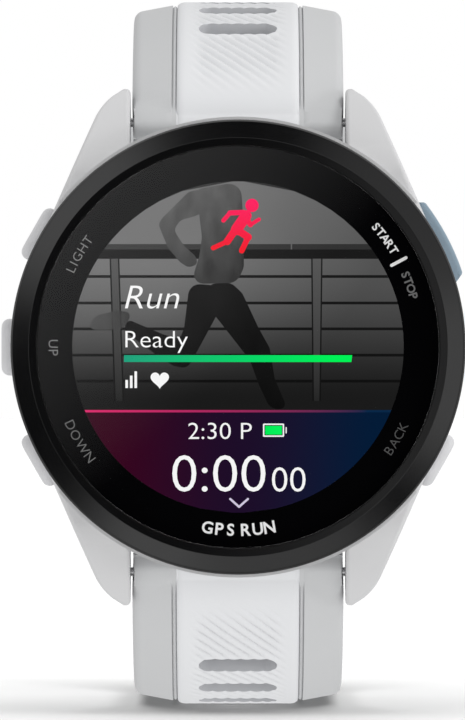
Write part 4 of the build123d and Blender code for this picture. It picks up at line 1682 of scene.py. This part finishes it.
@dataclass
class Strap:
    """One strap half: a grey band with slots, and the ribbed white inlay on it."""

    name: str
    body: str
    path: StrapPath
    inlay_stop: float
    slot_count: int
    first_slot: float
    round_tip: bool
    wrap: Wrap
    half: float = 9.9
    bed: float = 5.75
    groove: float = 6.2
    groove_floor: float = 1.02
    floor: float = 0.55
    border: float = 1.35
    border_edge: float = 0.75
    edge_x: float = 9.4
    inlay_top: float = 1.65
    bed_start: float = 0.9
    nose_r: float = 1.9
    root_r: float = 7.5
    root_bend: float = 2.9
    end_r: float = 2.0
    slot_half: Place = (3.7, 1.125)
    pitch: float = 5.05
    ribs_per_slot: int = 4
    rib_across: float = 1.2
    rib_depth: float = 0.34
    rib_cells: int = 8
    notch_half: float = 1.45
    notch_long: float = 3.3
    bore_r: float = 0.8
    bore_half: float = 9.85
    window_plan: tuple[float, float, float, float] = (4.3, -1.1, 7.4, 1.1)
    window_deep: Place = (-4.0, -0.3)

    def build(self) -> None:
        """Builds both pieces."""
        self.length = self.path.length()
        self.row = self.pitch / self.ribs_per_slot / self.rib_cells
        self.column = self.rib_across / self.rib_cells
        self.slots_start = self.first_slot - self.pitch / 2
        self.slots_stop = self.slots_start + self.pitch * self.slot_count
        ribs = self.lifted("ribs", self.inlay_patch(), self.inlay_low, self.inlay_high, INLAY)
        carried(ribs, self.body, [self.name + "_inlay"])
        band = self.lifted("band", self.band_patch(), self.band_low, self.band_high, STRAP)
        self.cut_root(band)
        carried(band, self.body, [self.name])

    # -- patches --

    def slot_loop(self) -> list[Place]:
        """Outline of a slot round its own middle, with places where the ribs' cells end."""
        across, along = self.slot_half
        bend = across - along
        count = int(bend / self.column)
        straight = [i * self.column for i in range(-count, count + 1)]
        turns = [math.pi * k / 24 - math.pi / 2 for k in range(25)]
        right = [(bend + along * math.cos(t), along * math.sin(t)) for t in turns]
        left = [(-bend - along * math.cos(t), -along * math.sin(t)) for t in turns]
        bottom = [(x, -along) for x in straight]
        top = [(x, along) for x in reversed(straight)]
        return bottom + right + top + left

    def slot_cell(self, columns: Sequence[float], rows: Sequence[float], window: Place) -> Flat:
        """One slot's stretch of a patch, round the slot's own middle.

        Args:
            columns: places across.
            rows: places along, from the stretch's start to its end.
            window: half sizes of the part that is filled with triangles round the slot.

        Returns:
            The stretch.
        """
        wide, long = window
        cell = Flat()
        cell.grid(columns, rows, lambda x, s: abs(x) < wide and abs(s) < long)
        xs = [x for x in columns if abs(x) < wide + 1e-6]
        ss = [s for s in rows if abs(s) < long + 1e-6]
        border = [(x, ss[0]) for x in xs] + [(xs[-1], s) for s in ss[1:]]
        border += [(x, ss[-1]) for x in reversed(xs[:-1])] + [(xs[0], s) for s in reversed(ss[1:-1])]
        slot = self.slot_loop()
        keep = self.column * 0.5
        inner = [(x, s) for x in xs[1:-1] for s in ss[1:-1] if self.slot_gap(x, s) > keep]
        cell.fill(border, [slot], inner)
        return cell

    def slot_gap(self, x: float, s: float) -> float:
        """Distance from a place to the slot round the origin, under 0 inside it."""
        across, along = self.slot_half
        return math.hypot(max(abs(x) - (across - along), 0.0), s) - along

    def rows_from(self, start: float, stop: float) -> list[float]:
        """Rows of a plain stretch, in step with the slots' rows."""
        origin = self.slots_start
        low = math.ceil((start - origin) / self.row + 0.3)
        high = math.floor((stop - origin) / self.row - 0.3)
        return [start, *(origin + self.row * k for k in range(low, high + 1)), stop]

    def with_slots(self, patch: Flat, cell: Flat) -> None:
        """Adds the row of slots to a patch."""
        for i in range(self.slot_count):
            patch.add(cell.places, cell.faces, self.first_slot + self.pitch * i)

    def inlay_patch(self) -> Flat:
        """The inlay's plan."""
        edges = [5.0, 5.2, 5.35, 5.48, 5.58, 5.66, 5.72, self.bed]
        count = int(4.8 / self.column + 0.5)
        middle = [i * self.column for i in range(-count, count + 1)]
        columns = [-x for x in reversed(edges)] + middle + edges
        half_rows = self.ribs_per_slot * self.rib_cells // 2
        rows = [self.row * k for k in range(-half_rows, half_rows + 1)]
        window = (29 * self.column, 9 * self.row)
        patch = Flat()
        patch.grid(columns, self.rows_from(-1.75, self.slots_start))
        self.with_slots(patch, self.slot_cell(columns, rows, window))
        tail = self.rows_from(self.slots_stop, self.inlay_stop - 0.6)
        close = [self.inlay_stop - d for d in (0.45, 0.3, 0.2, 0.12, 0.06, 0.0)]
        patch.grid(columns, tail + close)
        return patch

    def band_columns(self) -> list[float]:
        """Places across the band, close together at its steps and edges."""
        step = self.column * 4
        middle = [step * i for i in range(1, 8)]
        piping = [self.bed + d for d in (-0.02, 0.02, 0.09, 0.16, 0.23, 0.3, 0.37)]
        steps = [4.8, *piping, self.groove - 0.02, self.groove + 0.02]
        edges = [6.8, 7.6, 8.4, 8.9, 9.15, 9.35, 9.52, 9.66, 9.77, 9.85, self.half]
        right = middle + steps + edges
        return [-x for x in reversed(right)] + [0.0] + right

    def band_patch(self) -> Flat:
        """The band's plan, from the nose round its bar to its far end."""
        columns = self.band_columns()
        nose = [-self.nose_r * math.sin(math.radians(a)) for a in (80, 70, 60, 50, 40, 30, 20, 10)]
        root = [0.0, 0.3, 0.6, self.bed_start - 0.02, self.bed_start + 0.02]
        start = root[-1]
        way = self.slots_start - start
        count = round(way / 0.6)
        lead = [start + way * k / count for k in range(1, count + 1)]
        patch = Flat()
        patch.grid(columns, nose + root + lead)
        rows = [self.row * 4 * k for k in range(-4, 5)]
        self.with_slots(patch, self.slot_cell(columns, rows, (self.column * 29, self.row * 13)))
        if self.round_tip:
            self.tip(patch, columns, self.slots_stop)
        else:
            self.notched_end(patch, columns, self.slots_stop)
        return patch

    def tip(self, patch: Flat, columns: Sequence[float], start: float) -> None:
        """Adds the tail's round tip to the band's plan."""
        centre = self.length - self.half
        turns = [math.radians(180 * k / 72) for k in range(73)]
        arc = [(self.half * math.cos(t), centre + self.half * math.sin(t)) for t in turns]
        head = [(x, start) for x in columns]
        sides = []
        if centre > start + 0.5:
            sides = [start + (centre - start) * k / 4 for k in range(1, 4)]
        else:
            arc = [p for p in arc if p[1] > start + 0.1]
        right = [(self.half, s) for s in sides]
        left = [(-self.half, s) for s in reversed(sides)]
        outline = head + right + arc + left
        inner = []
        for x in columns[1:-1]:
            s = start + 0.6
            while s < self.length:
                if self.edge_gap(x, s) > 0.12:
                    inner.append((x, s))
                s += 0.3 if s > self.inlay_stop - 1 else 0.6
        for inset in (0.06, 0.14, 0.26, 0.42, 0.62):
            reach = self.half - inset
            ring = [(reach * math.cos(t), centre + reach * math.sin(t)) for t in turns]
            inner += [p for p in ring if p[1] > start + 0.2]
        patch.fill(outline, inner=inner)

    def notched_end(self, patch: Flat, columns: Sequence[float], start: float) -> None:
        """Adds the buckle end, notched for the tongue, to the band's plan."""
        stop = self.length - self.notch_long
        count = round((stop - start) / 0.6)
        rows = [start + (stop - start) * k / count for k in range(count + 1)]
        rows = sorted(rows + [self.inlay_stop - 0.02, self.inlay_stop + 0.02])
        patch.grid(columns, rows)
        turns = (0, 15, 30, 45, 60, 70, 78, 83)
        curl = [self.length + self.end_r * math.sin(math.radians(a)) for a in turns]
        before = [stop, stop + 0.6, stop + 1.2, self.length - 1.6, self.length - 1.2, self.length - 0.7]
        cheek = [x for x in columns if x > self.notch_half]
        for side in (1, -1):
            flank = sorted(side * x for x in [self.notch_half, *cheek])
            patch.grid(flank, before + curl)

    # -- heights --

    def edge_gap(self, x: float, s: float) -> float:
        """Distance from a place to the band's outer side."""
        side = self.half - abs(x)
        centre = self.length - self.half
        if self.round_tip and s > centre:
            return self.half - math.hypot(x, s - centre)
        return side

    def curl(self, s: float) -> float:
        """Share of the thickness that is left where an end curls round its pin."""
        if s < 0:
            return max(0.0, 1 + (s / self.nose_r) ** 3) ** (1 / 3)
        if s > self.length and not self.round_tip:
            return math.sqrt(max(0.0, 1 - ((s - self.length) / self.end_r) ** 2))
        return 1.0

    def drop(self, s: float) -> float:
        """How far the outer side has bent down towards the case."""
        reach = max(self.root_bend - s, 0.0)
        return self.root_r - math.sqrt(self.root_r**2 - reach * reach)

    def knuckle(self, s: float, root: float) -> float:
        """Half thickness of the knuckles round the bar and round the buckle's pin."""
        past = s - self.length
        if not self.round_tip and abs(past) < self.end_r:
            return math.sqrt(self.end_r**2 - past * past)
        return math.sqrt(root**2 - s * s) if abs(s) < root else 0.0

    def band_low(self, x: float, s: float) -> float:
        """Height of the band's wrist side."""
        rounding = 0.6 * (1 - quarter_round(self.edge_gap(x, s), 0.7))
        base = max(self.path.half_thick * self.curl(s), self.knuckle(s, self.nose_r))
        return -base + rounding * self.curl(s)

    def band_high(self, x: float, s: float) -> float:
        """Height of the band's outer side: bed, groove or crowned border."""
        reach = abs(x)
        if reach < self.bed and s < self.inlay_stop:
            return self.floor if s > self.bed_start else 0.9 * self.curl(s)
        if s < self.inlay_stop and self.bed <= reach < self.groove:
            middle = (self.bed + self.groove) / 2
            bulge = 1 - ((reach - middle) / (self.groove - middle)) ** 2
            return max(self.groove_floor + 0.25 * bulge - self.drop(s), 0.95) * self.curl(s)
        fall = (self.border - self.border_edge) / (self.edge_x - self.groove)
        top = self.border - fall * max(0.0, reach - self.groove) - self.drop(s)
        gap = self.edge_gap(x, s)
        by_bar = smooth_step(abs(s), 2.4, 0.9)
        top += max(0.98 - top, 0.0) * by_bar
        rounded = quarter_round(gap, 0.75 - 0.63 * by_bar)
        if self.round_tip and s > self.inlay_stop:
            top = min(top, self.border_edge + 0.6 * min(max(gap, 0.0) / 3.0, 1.0))
        top = -0.1 + (top + 0.1) * rounded
        if s > self.length - self.end_r and not self.round_tip:
            return max(top * self.curl(s), self.knuckle(s, self.end_r) * (0.4 + 0.6 * rounded))
        return top * self.curl(s)

    def inlay_low(self, x: float, s: float) -> float:
        """Height of the inlay's back."""
        return self.floor if s > self.bed_start else 0.93 * self.curl(s)

    def inlay_high(self, x: float, s: float) -> float:
        """Height of the inlay's crest, rounded at its edges."""
        gap = min((self.bed - abs(x)) / 0.75, (self.inlay_stop - s) / 0.6)
        top = max(self.inlay_top - self.drop(s), 1.12 * self.curl(s))
        return top - 0.4 * (1 - quarter_round(gap, 1.0))

    def tapered(self, x: float, s: float) -> float:
        """Place across, drawn in a little at the sides by the case."""
        pull = 0.12 * smooth_step(s, 3.0, -1.5) * smooth_step(abs(x), 8.0, self.half)
        return x - math.copysign(pull, x)

    def rib_share(self, x: float, s: float) -> float:
        """How deep the ribs are at a place: none at the inlay's edges and by the case."""
        place = (s - self.first_slot) / self.pitch
        nearest = min(max(round(place), 0), self.slot_count - 1)
        rim = self.slot_gap(x, (place - nearest) * self.pitch)
        side = smooth_step(abs(x), 4.9, 3.0) * (0.3 + 0.7 * smooth_step(rim, 0.0, 0.8))
        return side * smooth_step(s, 1.5, 7.0) * smooth_step(self.inlay_stop - s, 1.0, 4.0)

    # -- solids --

    def lifted(self, part: str, patch: Flat, low: Rule, high: Rule, finish: Any) -> bpy.types.Object:
        """Lifts a plan to a closed solid and bends it along the strap's line.

        Args:
            part: the piece's name after the strap's.
            patch: its plan.
            low: height of its back.
            high: height of its front.
            finish: its finish.

        Returns:
            The piece.
        """
        count = len(patch.places)
        points = [
            (self.tapered(x, s), s, height(x, s)) for height in (high, low) for x, s in patch.places
        ]
        rim = patch.rim()
        faces = list(patch.faces)
        faces += [tuple(i + count for i in reversed(face)) for face in patch.faces]
        faces += [(a + count, b + count, b, a) for a, b in rim]
        walls = [False] * (2 * len(patch.faces))
        walls += [self.by_slot(patch.places[a], patch.places[b]) for a, b in rim]
        if self.path.side < 0:
            faces = [tuple(reversed(face)) for face in faces]
        mesh = mesh_of(part, points, faces)
        rib = mesh.attributes.new("rib", "FLOAT", "POINT")
        ribbed = part == "ribs"
        shares = [self.rib_share(x, s) if ribbed else 0.0 for x, s in patch.places] + [0.0] * count
        rib.data.foreach_set("value", shares)
        wall = mesh.attributes.new("wall", "BOOLEAN", "FACE")
        wall.data.foreach_set("value", walls)
        ribs = (self.rib_across, self.pitch / self.ribs_per_slot, self.rib_depth)
        return self.wrap.wrapped(f"{self.name}_{part}", mesh, self.path, finish, ribs, 38.0)

    def by_slot(self, first: Place, second: Place) -> bool:
        """True if an edge of a plan lies on a slot's outline."""
        across = self.slot_half[0] + 0.01
        narrow = abs(first[0]) < across and abs(second[0]) < across
        return narrow and 5 < first[1] < self.inlay_stop - 0.5

    def cut_root(self, band: bpy.types.Object) -> None:
        """Bores the root for its bar and opens the lever's window on the wrist side."""
        path = self.path
        middle = Vector((0.0, -path.bar_height, path.side * path.bar_z))
        turn = math.radians(path.start)
        ahead = Vector((0.0, math.sin(turn), path.side * math.cos(turn)))
        outward = Vector((0.0, -math.cos(turn), path.side * math.sin(turn)))

        def spot(x: float, s: float, n: float) -> Vector:
            """A place across, along and out from the bar."""
            return middle + Vector((x, 0, 0)) + ahead * s + outward * n

        left, low, right, high = self.window_plan
        plan = filleted(box(left, low, right, high), [0.3] * 4, 3)
        circle = round_outline(self.bore_r, 32)
        tools = {
            "bore": [[spot(x, s, n) for s, n in circle] for x in (-self.bore_half, self.bore_half)],
            "window": [[spot(x, s, n) for x, s in plan] for n in self.window_deep],
        }
        for label, rings in tools.items():
            tool = capped(label, rings, STRAP)
            cut = band.modifiers.new(label, "BOOLEAN")
            cut.operation = "DIFFERENCE"
            cut.solver = "EXACT"
            cut.object = tool
            settled(band)
            bpy.data.objects.remove(tool)


@dataclass
class Keeper:
    """A closed loop round the strap, with rounded edges."""

    node: str
    body: str
    path: StrapPath
    wrap: Wrap
    gap_to_pin: float
    width: float = 4.5
    wall: float = 1.2
    half_wide: float = 10.05
    low: float = -1.8
    high: float = 5.25
    corner: float = 0.5
    edge: float = 0.35

    def build(self) -> None:
        """Builds the loop and lets it stand for its CAD node."""
        start = self.path.length() - self.gap_to_pin - self.width
        corners = box(-self.half_wide, self.low, self.half_wide, self.high)
        soft = self.edge * 0.5
        section = filleted(box(0, 0, self.wall, self.width), [soft, self.edge, self.edge, soft])
        points = []
        for out, along in section:
            wide = box(-self.half_wide - out, self.low - out, self.half_wide + out, self.high + out)
            loop = filleted(wide, [self.corner + out] * 4, 8)
            points += [(x, start + along, n) for x, n in loop]
        count = len(filleted(corners, [self.corner] * 4, 8))
        mesh = mesh_of(self.node, points, ring_faces(len(section), count, loop=True))
        mesh.attributes.new("rib", "FLOAT", "POINT")
        mesh.attributes.new("wall", "BOOLEAN", "FACE")
        tidy_shell(mesh)
        made = self.wrap.wrapped(self.node + "_loop", mesh, self.path, STRAP, (1.0, 1.0, 0.0), 40.0)
        tidy_shell(made.data)
        shaded(made.data, 40.0)
        carried(made, self.body, [self.node])


@dataclass
class Wristband:
    """Both strap halves, their keepers and the buckle."""

    def build(self) -> None:
        """Builds and dresses every piece."""
        wrap = Wrap()
        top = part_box("strap_upper_inlay")[1].z / MM
        bottom = -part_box("strap_lower_inlay")[0].z / MM
        upper = StrapPath(28.0, top, 1, 180)
        lower = StrapPath(30.0, bottom, -1, 90, 22.0, 28.0, 6.0)
        Strap("strap_upper", "strap_upper", upper, 60.5, 7, 12.1, False, wrap).build()
        Strap("strap_lower", "strap_lower", lower, 93.0, 16, 11.5, True, wrap).build()
        Keeper("keeper_fixed", "strap_upper", upper, wrap, 5.0).build()
        Keeper("keeper_free", "keeper_free", upper, wrap, 10.4).build()
        for node, piece, body in (
            ("buckle_frame", "buckle_bow", "buckle"),
            ("buckle_pin", "buckle_axle", "buckle"),
            ("buckle_tongue", "buckle_prong", "tongue"),
        ):
            carried(smooth_copy(node, piece, BUCKLE, 28.0), body, [node])


@dataclass
class Buttons:
    """The five buttons, as smooth copies of their CAD nodes."""

    names: tuple[str, ...] = ("light", "up", "down", "back", "start")

    def build(self) -> None:
        """Builds and dresses every button."""
        for name in self.names:
            node = "button_" + name
            finish = START if name == "start" else BUTTON
            carried(smooth_copy(node, "push_" + name, finish, 40.0), node, [node])


def dress_cad(frame: dict[str, Any]) -> None:
    """Gives every CAD node the finish of its material slot.
    """
    finishes = {finish.name: finish for finish in CAD_FINISHES}
    for row in frame["record"]["subparts"]:
        mesh = frame["nodes"][row["node"]].data
        mesh.materials.clear()
        mesh.materials.append(FINISHES.get(finishes[row["material_slot"]]))


# ---- studio ---------------------------------------------------------------------------


@dataclass(frozen=True)
class SoftBox:
    """A light panel in front of the dial, as the bezel mirrors it.

    Angles are clock angles in degrees from 3 o'clock, counted anticlockwise.
    """

    start: float
    stop: float
    soft: float
    power: float


@dataclass
class Studio:
    """Pale floor, white surroundings, soft panels and the camera."""

    eye: tuple[float, float, float] = (-0.51, -812.6, -1.2)
    lens: float = 432.0
    panels: tuple[SoftBox, ...] = (
        SoftBox(-31, 17, 10, 1.25),
        SoftBox(0, 68, 12, 0.66),
        SoftBox(113, 165, 18, 1.45),
        SoftBox(230, 262, 14, 1.45),
        SoftBox(250, 306, 12, 0.95),
    )
    keys: tuple[tuple[str, float, tuple[float, float, float]], ...] = (
        ("key_side", 1.7, (0.88, -0.45, -0.1)),
        ("key_top", 0.85, (0.62, -0.35, 0.7)),
    )
    floor_half: float = 4.0
    floor_level: float = 159.0
    lens_fall: float = 36.0
    lens_most: float = 1.1
    beside: Place = (0.03, 0.37)
    behind: Place = (0.6, 1.1)
    dull: tuple[float, float, float] = (0.54, 0.34, 0.34)

    def build(self) -> None:
        """Builds the camera, the surroundings and the floor."""
        self.camera()
        self.world()
        self.overhead(self.floor())
        self.key()
        bpy.context.scene.view_settings.view_transform = "Standard"

    def camera(self) -> None:
        """Looks straight at the dial from in front."""
        data = bpy.data.cameras.new("camera")
        data.lens = self.lens
        data.sensor_width = 36.0
        data.clip_start = 0.01
        data.clip_end = 30.0
        made = put("camera", data)
        made.location = Vector(self.eye) * MM
        made.rotation_euler = (math.radians(90), 0, 0)
        bpy.context.scene.camera = made

    def world(self) -> None:
        """White all round for the eye, soft for dull surfaces, panels for glossy ones."""
        world = bpy.data.worlds.new("studio")
        bpy.context.scene.world = world
        world.use_nodes = True
        graph = Graph(world.node_tree)
        graph.tree.nodes.clear()
        x, y, z = graph.parts(graph.term("ShaderNodeTexCoord", output="Generated"))
        path = graph.node("ShaderNodeLightPath")
        is_glossy = Term(graph, path.outputs["Is Glossy Ray"])
        is_camera = Term(graph, path.outputs["Is Camera Ray"])
        front = y * -1.0
        aside = (x * x + z * z).most(1e-9).power(0.5)
        off_axis = aside.angle_from(front) * (180 / math.pi)
        clock = z.angle_from(x) * (180 / math.pi)
        panels = self.between(clock, self.panels[0]) * self.panels[0].power
        for soft_box in self.panels[1:]:
            panels = panels.most(self.between(clock, soft_box) * soft_box.power)
        side = (x * -0.985 + z * 0.174) / aside
        far = self.cross(*self.beside, side.smooth(-0.2, 0.9))
        slope = (z - x) / front.most(0.05) * (1 / math.sqrt(2))
        lens_light = (slope * self.lens_fall).most(0.0).least(self.lens_most)
        glossy = self.cross(far, 0.005 + panels, off_axis.smooth(50, 40))
        rear = self.cross(*self.behind, z.smooth(-0.8, 1.0))
        glossy = self.cross(glossy, rear, off_axis.smooth(84, 100))
        glossy = self.cross(glossy, lens_light, off_axis.smooth(8, 4))
        base, from_front, from_below = self.dull
        diffuse = base + front.smooth(-0.4, 1.0) * from_front + z.smooth(0.1, -0.9) * from_below
        light = self.cross(self.cross(diffuse, glossy, is_glossy), 1.0, is_camera)
        values = {"Color": (1.0, 1.0, 1.0, 1.0), "Strength": light}
        shine = graph.term("ShaderNodeBackground", values=values)
        graph.node("ShaderNodeOutputWorld", values={"Surface": shine})
        world.cycles.sampling_method = "NONE"

    @staticmethod
    def cross(first: Any, second: Any, share: Term) -> Term:
        """First number where share is 0, second where it is 1."""
        return first * (1 - share) + second * share

    @staticmethod
    def between(clock: Term, box: SoftBox) -> Term:
        """1 at clock angles inside a panel, falling off softly at its sides."""
        middle = (box.start + box.stop) / 2
        half = (box.stop - box.start) / 2
        turned = (clock - middle) / 360.0
        wrapped = (turned + 0.5).fraction() - 0.5
        gap = (wrapped * 360.0).absolute()
        return gap.smooth(half + box.soft / 2, half - box.soft / 2)

    def floor(self) -> bpy.types.Object:
        """A pale floor that the strap's loop stands on."""
        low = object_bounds()[0].z
        half = self.floor_half
        data = bpy.data.meshes.new("floor")
        corners = [(x, y, low) for x, y in box(-half, -half, half, half)]
        data.from_pydata(corners, [], [(0, 1, 2, 3)])
        paint = Paint("floor_paper")
        tone = 0.98 + (paint.noise(30.0, 3.0) - 0.5) * 0.02
        values = {"Base Color": tone * grey(self.floor_level)[:3], "Roughness": 0.9, "Specular IOR Level": 0.0}
        data.materials.append(paint.surface(values))
        made = put("floor", data)
        made.visible_glossy = False
        made.visible_diffuse = False
        made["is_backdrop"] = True
        return made

    def overhead(self, floor: bpy.types.Object) -> None:
        """A soft light from above, on the floor alone, which casts the watch's shadow."""
        made = self.sun("overhead", 7.4, 85)
        only = bpy.data.collections.new("floor_light")
        only.objects.link(floor)
        made.light_linking.receiver_collection = only

    def key(self) -> None:
        """Weak slanting lights that pick out the ribs of both strap halves."""
        for name, power, direction in self.keys:
            made = self.sun(name, power, 20)
            made.rotation_euler = Vector(direction).to_track_quat("Z", "Y").to_euler()

    @staticmethod
    def sun(name: str, power: float, spread: float) -> bpy.types.Object:
        """A distant light from above, its disc's width in degrees, that mirrors don't show."""
        data = bpy.data.lights.new(name, "SUN")
        data.energy = power
        data.angle = math.radians(spread)
        made = put(name, data)
        made.visible_camera = False
        made.visible_glossy = False
        return made


def main() -> None:
    """Loads the frame and builds everything round it."""
    logging.basicConfig(level=logging.INFO, format="%(name)s: %(message)s")
    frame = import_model()
    Studio().build()
    dress_cad(frame)
    Case().build()
    Front().build()
    Display().build()
    Buttons().build()
    Wristband().build()


if __name__ == "__main__":
    main()
